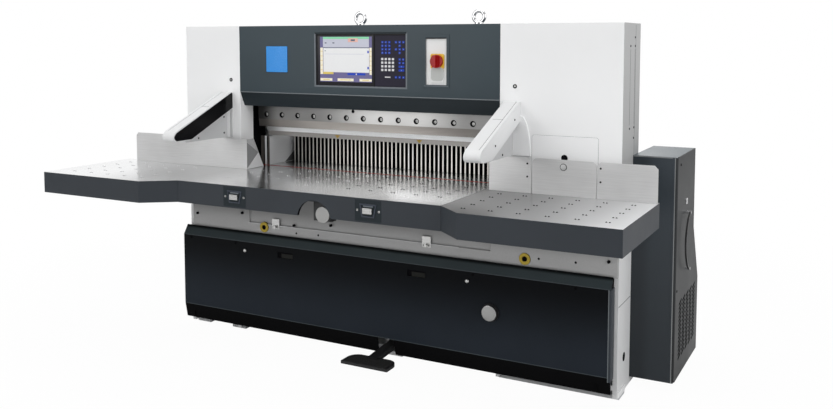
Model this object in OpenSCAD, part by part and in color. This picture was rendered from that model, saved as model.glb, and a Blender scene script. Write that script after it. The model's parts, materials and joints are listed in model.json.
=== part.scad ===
// Large guillotine paper cutter with side tables, built as an assembly of separate pieces.
// Model axes while building: X = 0 at the left column's inner face, Y = 0 at the column
// fronts, Z = 0 on the floor. place() then moves the origin to the middle of the base.

/* [Opening] */
// Clear width between the two columns
open_w = 1473; // [1440:1:1520]
// Cutting width between the side lays
cut_w = 1370; // [1330:1:1376]
// Distance of the left side lay from the left column
lay_in = 65; // [60:1:72]
// Height of the opening under the raised clamp
feed_h = 165; // [150:1:172]
// Height of the table surface above the floor
table_h = 880; // [870:1:900]
// Distance of the cutting plane behind the column fronts
cut_y = 152; // [148:1:156]
// Largest distance from the cutting plane to the backgauge
feed_depth = 1450; // [1200:1:1460]

/* [Columns] */
// Width of the left column
col_l_w = 365; // [350:1:380]
// Width of the right column
col_r_w = 557; // [530:1:580]
// Depth of the columns
col_d = 281; // [276:1:300]
// Height of the columns above the table surface
frame_h = 747; // [730:1:780]
// Thickness of the cover sheets
sheet_t = 3; // [2:0.5:4]
// Width of the left cast upright
upright_l_w = 280; // [240:1:300]
// Width of the right cast upright
upright_r_w = 290; // [250:1:320]
// Depth of the cast uprights
upright_d = 200; // [180:1:210]
// Gap between an upright and the covers around it
upright_gap = 20; // [15:1:24]

/* [Hood] */
// Height of the hood's upright face
hood_face_h = 340; // [330:1:350]
// Height of the slanted lip below the face
lip_h = 77; // [60:1:90]
// Distance that the lip runs back
lip_in = 36; // [30:1:38]
// Width of the screen and keypad window
panel_w = 528; // [500:1:560]
// Height of the screen and keypad window
panel_h = 270; // [250:1:280]
// Distance of the window from the left column
panel_x = 472; // [440:1:500]
// Distance of the window below the top
panel_top = 35; // [25:1:50]
// Width of the screen glass
glass_w = 324; // [300:1:330]
// Width of the keypad
keypad_w = 172; // [150:1:175]
// Height of the screen glass and the keypad
glass_h = 246; // [230:1:248]
// Thickness of the screen glass and the keypad
pane_t = 5; // [3:0.5:8]
// Side of the bare blue plate
plate_s = 132; // [110:1:150]
// Distance of the blue plate from the left column
plate_x = 176; // [150:1:200]
// Thickness of the blue plate
plate_t = 4; // [2:0.5:6]
// Width of the main switch plate
switch_w = 117; // [110:1:130]
// Height of the main switch plate
switch_h = 229; // [210:1:240]
// Distance of the main switch plate from the left column
switch_x = 1095; // [1060:1:1120]
// Radius of the main switch knob
knob_r = 31; // [26:1:34]
// Length of the main switch knob
knob_l = 38; // [30:1:45]
// Outer radius of the eyebolt rings
eye_r = 36; // [32:1:40]
// Radius of the eyebolt bar
eye_bar_r = 9; // [7:0.5:10]
// Distance of the left eyebolt from the left column
eye_x1 = 665; // [600:1:700]
// Distance of the right eyebolt from the left column
eye_x2 = 1312; // [1250:1:1340]

/* [Tables] */
// Height of the table edge
apron_h = 106; // [100:1:112]
// Thickness of the table tops
top_t = 40; // [30:1:50]
// Thickness of the table edges
skirt_t = 14; // [10:1:18]
// Distance of the centre table's front edge before the columns
centre_reach = 478; // [460:1:490]
// Distance of the side tables' front edge before the columns
wing_reach = 586; // [570:1:600]
// Overhang of the left table past the left column
wing_l_over = 442; // [420:1:460]
// Overhang of the right table past the right column
wing_r_over = 160; // [140:1:162]
// Width of the left table's slanted inner corner
corner_l = 150; // [130:1:170]
// Width of the right table's slanted inner corner
corner_r = 122; // [100:1:140]
// Distance of the right table seam from the right column
seam_in = 59; // [50:1:70]
// Width of the cutting stick
stick_w = 16; // [12:1:20]
// Depth of the cutting stick
stick_d = 10; // [8:1:14]
// Radius of the arch in the table edge
arch_r = 88.7; // [80:0.1:92]
// Distance of the arch from the left column
arch_x = 788.5; // [760:0.5:810]
// Height of the arch's middle below the table surface
arch_drop = 120; // [112:1:124]
// Radius of the handwheel
wheel_r = 36; // [30:1:40]
// Thickness of the handwheel
wheel_t = 26; // [20:1:30]
// Thickness of the rear table
rear_t = 60; // [50:1:70]
// Height of the rear side lays
rear_lay_h = 158; // [130:1:162]

/* [Guides and arms] */
// Height of the front guide walls
guide_h = 158; // [140:1:160]
// Thickness of the guide walls
guide_t = 3; // [2:0.5:5]
// Distance of the guide walls before the columns
guide_gap = 30; // [25:1:40]
// Length of the left guide wall before the left lay
guide_l_len = 778; // [700:1:800]
// Length of the right guide wall after the right lay
guide_r_len = 752; // [700:1:753]
// Width of the light-guard arms
arm_w = 75; // [65:1:85]
// Distance of the arms from the opening
arm_in = 50; // [45:1:60]
// Length of the arms before the columns
arm_len = 450; // [430:1:480]
// Height of the arms' top at the columns above the table surface
arm_top = 406; // [400:1:420]
// Height of the arms' underside at the front above the table surface
arm_low = 177; // [170:1:185]
// Thickness of the arm brackets
bracket_t = 8; // [6:1:12]

/* [Knife and clamp] */
// Thickness of the knife
knife_t = 13.75; // [11:0.25:15]
// Height of the knife
knife_h = 124; // [110:1:140]
// Height of the knife's bevel
bevel_h = 25; // [22:1:26]
// Height of the raised edge above the clamp's sole
edge_rise = 24; // [20:1:28]
// Thickness of the knife bar
bar_t = 26; // [24:1:30]
// Height of the knife bar
bar_h = 335; // [325:1:345]
// Height of the knife bar's lower edge above the knife's edge
bar_rise = 26; // [26:1:32]
// Number of knife bolts
bolt_n = 14; // [10:1:14]
// Distance between knife bolts
bolt_pitch = 100.5; // [95:0.5:101]
// Radius of the knife bolt heads
bolt_r = 11; // [8:0.5:13]
// Sideways travel of the knife over the stroke
swing = 48; // [40:1:55]
// Radius of the knife's pull rod
pull_r = 12; // [10:0.5:12.5]
// Depth of the clamp beam
clamp_d = 98; // [90:1:104]
// Height of the clamp beam
clamp_h = 215; // [200:1:225]
// Radius of the clamp rods
clamp_rod_r = 25; // [20:1:28]
// Outer radius of the clamp cylinders
cylinder_r = 45; // [38:1:47]

/* [Backgauge] */
// Distance of the backgauge's face behind the cutting plane at rest
gauge_rest = 208; // [200:1:230]
// Distance between the fingers
finger_pitch = 25; // [25:1:30]
// Thickness of a finger
finger_t = 8; // [6:0.5:9]
// Length of a finger
finger_l = 40; // [35:1:45]
// Height of the backgauge
gauge_h = 145; // [120:1:150]
// Depth of the backgauge's beam
gauge_d = 80; // [70:1:90]
// Radius of the feed spindle
spindle_r = 20; // [16:1:24]
// Depth of the spindle's middle below the table surface
spindle_drop = 110; // [106:1:116]

/* [Base] */
// Height of the floor pads
pad_h = 18; // [12:1:24]
// Side of the floor pads
pad_s = 90; // [70:1:100]
// Thickness of the base plates
base_t = 20; // [16:1:24]
// Depth of the base behind the column fronts
base_d = 700; // [690:1:720]
// Depth of the base's top below the table surface
base_top = 220; // [210:1:230]
// Depth of the bed front's lower edge below the table surface
bed_low = 331; // [320:1:340]
// Thickness of the bed front
bed_t = 20; // [16:1:24]
// Radius of the brass plugs
plug_r = 26.5; // [20:0.5:30]
// Width of a cover latch
latch_w = 46; // [36:1:50]
// Height of a cover latch
latch_h = 52; // [40:1:56]

/* [Front cover and pedal] */
// Overhang of the cover past the left column's inner face
cover_l = 335; // [325:1:345]
// Distance of the cover's right end inside the right column
cover_r_in = 15; // [10:1:25]
// Distance of the cover's face before the columns
cover_y = 80; // [76:1:86]
// Height of the upper bend
cover_bend_up = 508; // [495:1:515]
// Height of the lower bend
cover_bend_low = 128; // [120:1:140]
// Height of the cover's top edge
cover_top = 555; // [545:1:565]
// Height of the cover's bottom edge
cover_low = 50; // [46:1:52]
// Distance that the top bevel runs back
cover_in = 30; // [24:1:32]
// Thickness of the cover sheet
cover_t = 2.5; // [2:0.5:3]
// Width of the finger slots
slot_w = 96; // [80:1:110]
// Height of the finger slots
slot_h = 32; // [28:1:40]
// Radius of the chrome lock knob
lock_r = 42; // [34:1:46]
// Middle of the pedal from the left column
pedal_x = 926; // [900:1:950]
// Width of the pedal pad
pedal_w = 247; // [220:1:260]
// Depth of the pedal pad
pedal_d = 113; // [100:1:120]
// Thickness of the pedal pad
pedal_t = 14; // [10:1:18]
// Distance of the pedal's front edge before the columns
pedal_reach = 288; // [275:1:300]
// Width of the pedal arm
pedal_arm_w = 50; // [40:1:56]
// Radius of the hinge pins of cover and pedal
hinge_r = 6; // [5:0.5:7]

/* [Cabinet] */
// Width of the cabinet
cab_w = 195; // [180:1:200]
// Distance of the cabinet's front behind the column fronts
cab_y = 185; // [175:1:195]
// Height of the cabinet's top
cab_top = 1049; // [1030:1:1060]
// Height of the cabinet's underside
cab_low = 50; // [40:1:60]
// Depth of the cabinet's upper part
cab_d_up = 395; // [380:1:410]
// Depth of the cabinet's lower part
cab_d_low = 527; // [510:1:540]
// Height where the back starts to slant out
cab_slant_up = 677; // [660:1:690]
// Height where the slanted back ends
cab_slant_low = 408; // [390:1:420]
// Stand-off of the door handle
handle_out = 24; // [20:1:32]
// Radius of the door handle's bar
handle_r = 4; // [3:0.5:6]
// Inner radius of the cable gland
gland_r = 10; // [8:0.5:13]

/* [Drive] */
// Radius of the flywheel
fly_r = 170; // [150:1:175]
// Width of the flywheel
fly_w = 70; // [60:1:75]
// Radius of the motor pulley
pulley_r = 60; // [50:1:66]
// Distance between flywheel and motor shafts
belt_c = 275; // [262:1:285]
// Thickness of the drive belt
belt_t = 8; // [6:1:10]
// Radius of the main motor
motor_r = 88; // [80:1:92]
// Length of the main motor
motor_l = 230; // [200:1:240]
// Radius of the drive shafts
shaft_r = 18; // [15:1:20]

/* [Hidden] */
$fn = 64;

// Clearances
run_gap = 0.3;
shaft_gap = 0.05;

// Finishes
white = [0.92, 0.92, 0.92];
steel = [0.74, 0.74, 0.75];
chrome = [0.85, 0.85, 0.87];
dark = [0.24, 0.27, 0.3];
edge_grey = [0.25, 0.27, 0.29];
black = [0.05, 0.05, 0.06];
cast = [0.45, 0.47, 0.48];

// Places along X
right_in = open_w;
right_out = open_w + col_r_w;
left_out = -col_l_w;
lay_play = 1;
lay_l = lay_in;
lay_r = lay_in + cut_w + 2 * lay_play;
mid_x = (lay_l + lay_r) / 2;
seam_x = open_w - seam_in;
table_x0 = left_out - wing_l_over;
table_x1 = right_out + wing_r_over;
pull_x = open_w + 87;
up_l1 = -upright_gap;
up_l0 = up_l1 - upright_l_w;
up_r0 = pull_x + 50;
up_r1 = up_r0 + upright_r_w;
cab_x1 = right_out + cab_w;
door_t = 3;

// Places along Y
up_y0 = upright_gap + upright_gap;
up_y1 = up_y0 + upright_d;
bar_y1 = cut_y - knife_t;
bar_y0 = bar_y1 - bar_t;
bar_mid_y = (bar_y0 + bar_y1) / 2;
clamp_y0 = cut_y + run_gap;
clamp_y1 = clamp_y0 + clamp_d;
base_y0 = -20;
bed_y0 = base_y0 - bed_t;
centre_back = col_d + 19;
guide_y = -guide_gap;
gauge_y = cut_y + gauge_rest;
gauge_near = 20;
nut_l = 40;
bearing_t = 20;
bearing_y0 = centre_back + 15;
nut_y = bearing_y0 + bearing_t + 5 + gauge_rest - gauge_near + nut_l / 2;
bearing_y1 = nut_y + nut_l / 2 + feed_depth - gauge_rest + 5;
feed_motor_l = 150;
rear_end = bearing_y1 + bearing_t + feed_motor_l + 10;

// Heights
frame_z = table_h + frame_h;
arm_top_z = table_h + arm_top;
arm_low_z = table_h + arm_low;
base_z1 = table_h - base_top;
bed_z0 = table_h - bed_low;
roof_room = 55;
slab_t = 60;
lip_cover = 30;
apron_z = table_h - apron_h;
sole_z = table_h + feed_h;
edge_z = sole_z + edge_rise;
bar_z0 = edge_z + bar_rise;
clamp_top = sole_z + clamp_h;
hood_bend = frame_z - hood_face_h;
lip_z = hood_bend - lip_h;
slab_z1 = frame_z - roof_room;
slab_z0 = slab_z1 - slab_t;
girder_z0 = lip_z + lip_cover;
stroke = edge_z - table_h - run_gap;
bolt_z = bar_z0 + 65;
spindle_z = table_h - spindle_drop;
bracket_z = table_h + guide_h + 4;

// Outer box, for the origin at the middle of the base
box_x = (table_x0 + cab_x1 + handle_out) / 2;
box_y = (rear_end - wing_reach) / 2;

// Moves the finished piece so that the origin lies at the middle of the outer box, on the floor
module place() translate([-box_x, -box_y, 0]) children();

// Block between two opposite corners
module block(a, b) translate(a) cube(b - a);

// Outline in Y and Z, drawn out along X
module along_x(outline, x0, x1)
  translate([x0, 0, 0]) rotate([90, 0, 90]) linear_extrude(x1 - x0) polygon(outline);

// Outline in X and Y, drawn up along Z
module along_z(outline, z0, z1) translate([0, 0, z0]) linear_extrude(z1 - z0) polygon(outline);

// Round bars along each axis, from a start point
module rod_x(p, r, l) translate(p) rotate([0, 90, 0]) cylinder(r = r, h = l);
module rod_y(p, r, l) translate(p) rotate([-90, 0, 0]) cylinder(r = r, h = l);
module rod_z(p, r, l) translate(p) cylinder(r = r, h = l);

// Fixed frame

base_front_x0 = -cover_l;
leg_l = 22;
leg_inner_r = right_in - 3;
rod_slot = 12;
pedal_y = 20;
pedal_z = 80;
lug_w = 20;
cover_axis_y = -cover_y + 28;
cover_axis_z = cover_low + 14;
tab_in = 57;
tab_w = 6;
lug_r = 11;

// Slot that the knife's pull rod runs in
module rod_slot_cut(z0, z1)
  block([pull_x - swing - pull_r - rod_slot, bar_mid_y - pull_r - rod_slot, z0],
        [pull_x + pull_r + rod_slot, bar_mid_y + pull_r + rod_slot, z1]);

// Lug for the front cover's hinge, carried by the wall beside it
module cover_lug(x, foot_x0, foot_x1) {
  rod_x([x, cover_axis_y, cover_axis_z], lug_r, lug_w);
  block([x, cover_axis_y, cover_axis_z - lug_r + 3], [x + lug_w, base_y0, cover_axis_z + lug_r]);
  block([foot_x0, base_y0, cover_axis_z - lug_r], [foot_x1, base_y0 + base_t, cover_axis_z + lug_r]);
}

cover_x0 = -cover_l;
cover_x1 = right_out - cover_r_in;
lug_l_x = cover_x0 + tab_in - lug_w - 1;
lug_r_x = cover_x1 - tab_in + 1;
pedal_lug_gap = pedal_arm_w / 2 + 1;

floor_y0 = base_y0 + 80;
floor_z = pad_h + base_t;
deck_z = base_z1 - base_t;
back_y = base_d - base_t;
wall_xs = [base_front_x0, -leg_l, leg_inner_r, right_out - base_t];

// Four upright walls, the outer ones with the lugs of the front cover's hinge
module base_walls() color(white) difference() {
  union() {
    for (x = wall_xs) block([x, base_y0, pad_h], [x + base_t, back_y, deck_z]);
    cover_lug(lug_l_x, wall_xs[0], lug_l_x + lug_w);
    cover_lug(lug_r_x, lug_r_x, wall_xs[3] + base_t);
  }
  for (x = [lug_l_x, lug_r_x])
    rod_x([x - 1, cover_axis_y, cover_axis_z], hinge_r + shaft_gap, lug_w + 2);
}

module base_back() color(white) block([base_front_x0, back_y, pad_h], [right_out, base_d, base_z1]);

// Decks over the two legs, the right one with the pull rod's slot
module base_decks() color(white) difference() {
  for (i = [0, 2]) block([wall_xs[i], base_y0, deck_z], [wall_xs[i + 1] + base_t, back_y, base_z1]);
  rod_slot_cut(deck_z - 1, base_z1 + 1);
}

// Floor plates between the walls, the middle one with the pedal's lugs
module base_floor() color(white) {
  for (i = [0 : 2])
    block([wall_xs[i] + base_t, floor_y0, pad_h], [wall_xs[i + 1], back_y, floor_z]);
  difference() {
    union() {
      block([pedal_x - pedal_lug_gap - lug_w, pedal_y - lug_w, pad_h],
            [pedal_x + pedal_lug_gap + lug_w, floor_y0 + 1, floor_z]);
      for (s = [-1, 1])
        block([pedal_x + s * pedal_lug_gap + min(0, s * lug_w), pedal_y - lug_w, floor_z - 1],
              [pedal_x + s * pedal_lug_gap + max(0, s * lug_w), pedal_y + lug_w, pedal_z + lug_w]);
    }
    rod_x([pedal_x - pedal_lug_gap - lug_w - 1, pedal_y, pedal_z], hinge_r + shaft_gap,
          2 * (pedal_lug_gap + lug_w + 1));
  }
}

// Floor pads under the four corners and the inner walls, and the skid under the right leg's front
module floor_pads() color(cast) {
  for (x = [base_front_x0, -leg_l + base_t - pad_s, leg_inner_r, right_out - pad_s],
       y = [base_y0 + 40, base_d - pad_s])
    block([x, y, 0], [x + pad_s, y + pad_s, pad_h]);
  block([leg_inner_r, base_y0 + 40, 0], [right_out - pad_s, base_y0 + 40 + pad_s, pad_h]);
}

bed_x0 = up_l0 - 1;
bed_recess = 8;
recess_z = bed_z0 + 54;
plug_deep = 12;
plug_z = bed_z0 + 37;
plug_xs = [178, right_in + 141];
latch_xs = [230, right_in - 371];

module bed() color(cast) difference() {
  union() {
    block([bed_x0, bed_y0, bed_z0], [right_out, base_y0, apron_z]);
    block([bed_x0, base_y0, base_z1], [right_out, col_d, apron_z]);
  }
  block([82, bed_y0 - 1, recess_z], [right_in - 24, bed_y0 + bed_recess, apron_z + 1]);
  for (x = plug_xs) rod_y([x, bed_y0 - 1, plug_z], plug_r, plug_deep + 1);
  rod_slot_cut(base_z1 - 1, apron_z + 1);
}

module brass_plugs() color([0.6, 0.5, 0.15])
  for (x = plug_xs) difference() {
    rod_y([x, bed_y0 - 4, plug_z], plug_r, plug_deep + 4);
    rod_y([x, bed_y0 - 5, plug_z], plug_r * 0.45, 6);
  }

module bed_latches() color(chrome)
  for (x = latch_xs) {
    block([x, bed_y0 - 4, recess_z - 18], [x + latch_w, bed_y0, recess_z - 18 + latch_h]);
    rod_y([x + latch_w / 2, bed_y0 - 16, recess_z - 8], 8, 12);
  }

module left_upright() color(cast)
  block([up_l0, up_y0, apron_z], [up_l1, up_y1, slab_z1]);

module right_upright() color(cast)
  block([up_r0, up_y0, apron_z], [up_r1, up_y1, slab_z1]);

cylinder_xs = [lay_l + 235, lay_r - 235];
cylinder_y = clamp_y0 + clamp_d / 2;
eye_y = up_y0 + upright_d / 2 - 10;

// Girder that the knife bar slides against, with the slab that carries the clamp cylinders
module top_beam() color(cast) difference() {
  union() {
    block([up_l1, up_y0, girder_z0], [up_r0, bar_y0 - run_gap, slab_z1]);
    block([up_l1, up_y0, slab_z0], [up_r0, up_y1, slab_z1]);
  }
  for (x = [eye_x1, eye_x2]) rod_z([x, eye_y, slab_z1 - 40], eye_bar_r, 41);
}

// White cover of a column between x0 and x1, with its inner side at x_in
module column_cover(x0, x1, x_in) {
  inner0 = x_in == x1 ? x1 - sheet_t : x0;
  outer0 = x_in == x1 ? x0 : x1 - sheet_t;
  block([x0, 0, apron_z], [x1, sheet_t, frame_z]);
  block([outer0, 0, apron_z], [outer0 + sheet_t, col_d, frame_z]);
  block([x0, col_d - sheet_t, apron_z], [x1, col_d, frame_z]);
  block([x0, 0, frame_z - sheet_t], [x1, col_d, frame_z]);
  block([inner0, 0, apron_z], [inner0 + sheet_t, bar_y0 - 7, girder_z0 - 5]);
  block([inner0, 0, apron_z], [inner0 + sheet_t, upright_gap, frame_z]);
}

hatch_x = right_in + 155;
hatch_w = 299;
hatch_top = table_h + 256;
hatch_low = table_h + 10;
hatch_t = 2;
hatch_hole = [hatch_x + hatch_w / 2, hatch_top - 95];

module left_column_cover() color(white) column_cover(left_out, 0, 0);

module right_column_cover() color(white) column_cover(right_in, right_out, right_in);

module access_hatch() color(white) difference() {
  block([hatch_x, -hatch_t, hatch_low], [hatch_x + hatch_w, 0, hatch_top]);
  rod_y([hatch_hole[0], -hatch_t - 1, hatch_hole[1]], 15, hatch_t + 2);
}

panel_z1 = frame_z - panel_top;
panel_z0 = panel_z1 - panel_h;
plate_z = hood_bend + 104;
switch_z = hood_bend + 54;
switch_mid = [switch_x + switch_w / 2 + 6, switch_z + switch_h / 2];
hood_x0 = run_gap;
hood_x1 = right_in - run_gap;

// Dark bent cover over the opening: face, slanted lip, roof and back
module hood() color(dark) difference() {
  union() {
    along_x([[0, frame_z], [0, hood_bend], [lip_in, lip_z], [lip_in + sheet_t, lip_z],
             [sheet_t, hood_bend], [sheet_t, frame_z - sheet_t], [col_d - sheet_t, frame_z - sheet_t],
             [col_d - sheet_t, sole_z + 20], [col_d, sole_z + 20], [col_d, frame_z]],
            hood_x0, hood_x1);
  }
  block([panel_x, -1, panel_z0], [panel_x + panel_w, sheet_t + 1, panel_z1]);
  block([switch_x, -1, switch_z], [switch_x + switch_w, sheet_t + 1, switch_z + switch_h]);
  for (x = [eye_x1, eye_x2]) rod_z([x, eye_y, frame_z - sheet_t - 1], eye_bar_r + 1, sheet_t + 2);
}

eye_foot_h = 10;

// Lifting eyes screwed into the top beam: shank, round foot and ring
module eyebolts() color(chrome)
  for (x = [eye_x1, eye_x2]) {
    rod_z([x, eye_y, slab_z1 - 40], eye_bar_r, frame_z - slab_z1 + 40 + eye_foot_h / 2);
    rod_z([x, eye_y, frame_z], eye_r * 0.6, eye_foot_h);
    translate([x, eye_y, frame_z + eye_foot_h + eye_r - eye_bar_r]) rotate([90, 0, 0])
      rotate_extrude() translate([eye_r - eye_bar_r, 0]) circle(r = eye_bar_r, $fn = 24);
  }

bezel_rim = 10;
bezel_d = 22;
glass_x = panel_x + 14;
glass_z = panel_z0 + 9;
keypad_x = panel_x + panel_w - 9 - keypad_w;
pane_y = sheet_t + 3;

module screen_bezel() color(black) difference() {
  block([panel_x - bezel_rim, sheet_t, panel_z0 - bezel_rim],
        [panel_x + panel_w + bezel_rim, sheet_t + bezel_d, panel_z1 + bezel_rim]);
  block([glass_x, sheet_t - 1, glass_z], [glass_x + glass_w, pane_y + pane_t, glass_z + glass_h]);
  block([keypad_x, sheet_t - 1, glass_z], [keypad_x + keypad_w, pane_y + pane_t, glass_z + glass_h]);
}

module screen_glass() color([0.3, 0.45, 0.6])
  block([glass_x, pane_y, glass_z], [glass_x + glass_w, pane_y + pane_t, glass_z + glass_h]);

module keypad_panel() color([0.23, 0.2, 0.28])
  block([keypad_x, pane_y, glass_z], [keypad_x + keypad_w, pane_y + pane_t, glass_z + glass_h]);

module blue_plate() color([0.15, 0.54, 0.84])
  block([plate_x, -plate_t, plate_z], [plate_x + plate_s, 0, plate_z + plate_s]);

collar_t = 6;
collar_s = knob_r * 2 + 8;
stem_r = 8;
tab_size = [66, 5, 58];

// Light plate behind the hood's cut-out, with its rounded tab below the switch
module switch_plate() color([0.75, 0.76, 0.77]) difference() {
  union() {
    block([switch_x - bezel_rim, sheet_t, switch_z - bezel_rim],
          [switch_x + switch_w + bezel_rim, sheet_t + bezel_d, switch_z + switch_h + bezel_rim]);
    translate([switch_mid[0] - tab_size[0] / 2, sheet_t - tab_size[1], switch_z + 16]) cube(tab_size);
  }
  rod_y([switch_mid[0], sheet_t - 1, switch_mid[1]], stem_r + shaft_gap, bezel_d + 2);
}

module switch_collar() color([0.9, 0.74, 0.2]) difference() {
  block([switch_mid[0] - collar_s / 2, sheet_t - collar_t, switch_mid[1] - collar_s / 2],
        [switch_mid[0] + collar_s / 2, sheet_t, switch_mid[1] + collar_s / 2]);
  rod_y([switch_mid[0], sheet_t - collar_t - 1, switch_mid[1]], stem_r + shaft_gap, collar_t + 2);
}

// Red knob with a grip bar, on a stem that runs in the plate
module switch_knob() color([0.8, 0.12, 0.12]) {
  y0 = sheet_t - collar_t - run_gap;
  rod_y([switch_mid[0], y0 - 14, switch_mid[1]], knob_r, 14);
  block([switch_mid[0] - 9, y0 - knob_l, switch_mid[1] - knob_r + 3],
        [switch_mid[0] + 9, y0 - 13, switch_mid[1] + knob_r - 3]);
  rod_y([switch_mid[0], y0 - 1, switch_mid[1]], stem_r, collar_t + bezel_d - 2);
}

// Light-guard arms and guide walls

arm_depth = 96;
arm_nose = 49;
arm_flat = 130;
arm_l1 = -arm_in;
arm_r0 = right_in + arm_in / 2;
window_t = 2;

// Side outline of an arm, drawn in by a margin
function arm_outline(m) = [
  [-m, arm_top_z - 1.2 * m], [m + 20 - arm_len, arm_low_z + arm_nose - 1.2 * m],
  [m - arm_len, arm_low_z + arm_nose / 2], [m + 14 - arm_len, arm_low_z + m],
  [arm_flat - arm_len, arm_low_z + m], [-14, arm_top_z - arm_depth + m], [-m, arm_top_z - arm_depth + m]];

module left_arm() color(white) along_x(arm_outline(0), arm_l1 - arm_w, arm_l1);

module right_arm() color(white) along_x(arm_outline(0), arm_r0, arm_r0 + arm_w);

module arm_windows() color(black) {
  along_x(arm_outline(4), arm_l1, arm_l1 + window_t);
  along_x(arm_outline(4), arm_r0 - window_t, arm_r0);
}

// Gusset under an arm, with its flange on the column
module arm_bracket(x) {
  flange_t = 5;
  along_x([[0, bracket_z], [0, arm_top_z - arm_depth], [-14, arm_top_z - arm_depth],
           [arm_flat - arm_len, arm_low_z], [arm_flat - arm_len, bracket_z]],
          x - bracket_t / 2, x + bracket_t / 2);
  block([x - arm_w / 2 + 3, -flange_t, bracket_z], [x + arm_w / 2 - 3, 0, arm_top_z - arm_depth]);
}

module arm_brackets() color(white) {
  arm_bracket(arm_l1 - arm_w / 2);
  arm_bracket(arm_r0 + arm_w / 2);
}

guide_z1 = table_h + guide_h;
guide_chamfer = 15;
return_top = 25;
split_gap = 1.5;
split_1 = 202;
split_2 = 494;

// Front plate of a guide wall, with its upper corners cut at the ends that are named
module wall_plate(x0, x1, cut_l, cut_r)
  translate([0, guide_y, 0]) rotate([90, 0, 0]) linear_extrude(guide_t)
    polygon([[x0, table_h], [x1, table_h], [x1, guide_z1 - cut_r], [x1 - cut_r, guide_z1],
             [x0 + cut_l, guide_z1], [x0, guide_z1 - cut_l]]);

// Return of a guide wall at the lay, with its slanted rear edge
module wall_return(x0)
  along_x([[guide_y - guide_t, table_h], [bar_y0 - 4, table_h], [return_top, guide_z1],
           [guide_y - guide_t, guide_z1]], x0, x0 + guide_t);

module left_guide_wall() color(steel) {
  wall_plate(lay_l - guide_t - guide_l_len, lay_l - guide_t / 2, guide_chamfer, 0.1);
  wall_return(lay_l - guide_t);
}

module right_guide_wall() color(steel) {
  wall_plate(lay_r, lay_r + split_1, 0.1, guide_chamfer);
  wall_plate(lay_r + split_1 + split_gap, lay_r + split_2, guide_chamfer, guide_chamfer);
  wall_plate(lay_r + split_2 + split_gap, lay_r + guide_r_len, guide_chamfer, guide_chamfer);
  wall_return(lay_r);
}

// Tables

table_gap = 0.6;
wing_back = -1;
button_z = table_h - 53;
button_h = 94;
button_w = 131;
button_xs = [346, right_in - 405];
plate_d = 10;
cap_w = 46;
cap_h = 24;
cap_l = 14;
cap_stem_r = 6;
travel = 6;
wheel_x = arch_x + 27;
wheel_z = table_h - 99;
wheel_y = -centre_reach + 28;

module centre_table() color(steel) difference() {
  z0 = apron_z;
  y0 = -centre_reach;
  union() {
    block([0, y0, z0], [seam_x, 0, table_h]);
    block([lay_play, -1, z0], [open_w - lay_play, centre_back, table_h]);
  }
  block([skirt_t, y0 + skirt_t, z0 - 1], [seam_x - skirt_t, bed_y0 - skirt_t, table_h - top_t]);
  block([-1, cut_y - stick_w / 2, table_h - stick_d], [open_w + 1, cut_y + stick_w / 2, table_h + 1]);
  rod_y([arch_x, y0 - 1, table_h - arch_drop], arch_r, skirt_t + 2);
  for (x = button_xs)
    block([x - button_w / 2, y0 - 1, button_z - button_h / 2],
          [x + button_w / 2, y0 + skirt_t + 1, button_z + button_h / 2]);
}

// Side table: outline, with the hollow under it left open below
module side_table(outline, hollows) difference() {
  along_z(outline, apron_z, table_h);
  for (h = hollows)
    block([h[0], h[1], apron_z - 1], [h[2], h[3], table_h - top_t]);
}

module left_table() color(steel)
  side_table([[table_x0, -wing_reach], [-corner_l, -wing_reach], [-table_gap, -centre_reach],
              [-table_gap, wing_back], [table_x0, wing_back]],
             [[table_x0 + skirt_t, -centre_reach + skirt_t, -table_gap - skirt_t, wing_back - skirt_t],
              [table_x0 + skirt_t, -wing_reach + skirt_t, -corner_l - skirt_t, skirt_t - centre_reach]]);

module right_table() color(steel)
  side_table([[seam_x + table_gap, -centre_reach], [seam_x + corner_r, -wing_reach],
              [table_x1, -wing_reach], [table_x1, wing_back], [seam_x + table_gap, wing_back]],
             [[seam_x + table_gap + skirt_t, -centre_reach + skirt_t,
               table_x1 - skirt_t, wing_back - skirt_t],
              [seam_x + corner_r + skirt_t, -wing_reach + skirt_t,
               table_x1 - skirt_t, skirt_t - centre_reach]]);

module cutting_stick() color([0.6, 0.1, 0.1])
  block([lay_play, cut_y - stick_w / 2, table_h - stick_d],
        [open_w - lay_play, cut_y + stick_w / 2, table_h]);

// Plates in the table edge, each with a seat for its cut button
module button_plates() color(black)
  for (x = button_xs) difference() {
    block([x - button_w / 2, -centre_reach, button_z - button_h / 2],
          [x + button_w / 2, -centre_reach + skirt_t, button_z + button_h / 2]);
    block([x - cap_w / 2 - run_gap, -centre_reach - 1, button_z - cap_h / 2 - run_gap],
          [x + cap_w / 2 + run_gap, -centre_reach + plate_d, button_z + cap_h / 2 + run_gap]);
    rod_y([x, -centre_reach, button_z], cap_stem_r + shaft_gap, skirt_t + 1);
  }

// Silver cut button: a paddle on its stem
module cut_button(x) color(chrome) {
  y0 = -centre_reach + plate_d - travel - run_gap;
  block([x - cap_w / 2, y0 - cap_l, button_z - cap_h / 2], [x + cap_w / 2, y0, button_z + cap_h / 2]);
  rod_y([x, y0 - 1, button_z], cap_stem_r, skirt_t + 10);
}

module left_cut_button() cut_button(button_xs[0]);

module right_cut_button() cut_button(button_xs[1]);

wheel_stem_r = 9;
bracket_d = 40;

// Black bracket under the table that carries the handwheel's stem
module handwheel_bracket() color(black) difference() {
  y0 = wheel_y + wheel_t + run_gap;
  block([wheel_x - 64, y0, wheel_z - 34], [wheel_x + 30, y0 + bracket_d, table_h - top_t]);
  rod_y([wheel_x, y0 - 1, wheel_z], wheel_stem_r + shaft_gap, bracket_d + 2);
}

module handwheel() color(chrome) {
  rod_y([wheel_x, wheel_y, wheel_z], wheel_r, wheel_t);
  rod_y([wheel_x, wheel_y + wheel_t - 1, wheel_z], wheel_stem_r, bracket_d);
}

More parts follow.
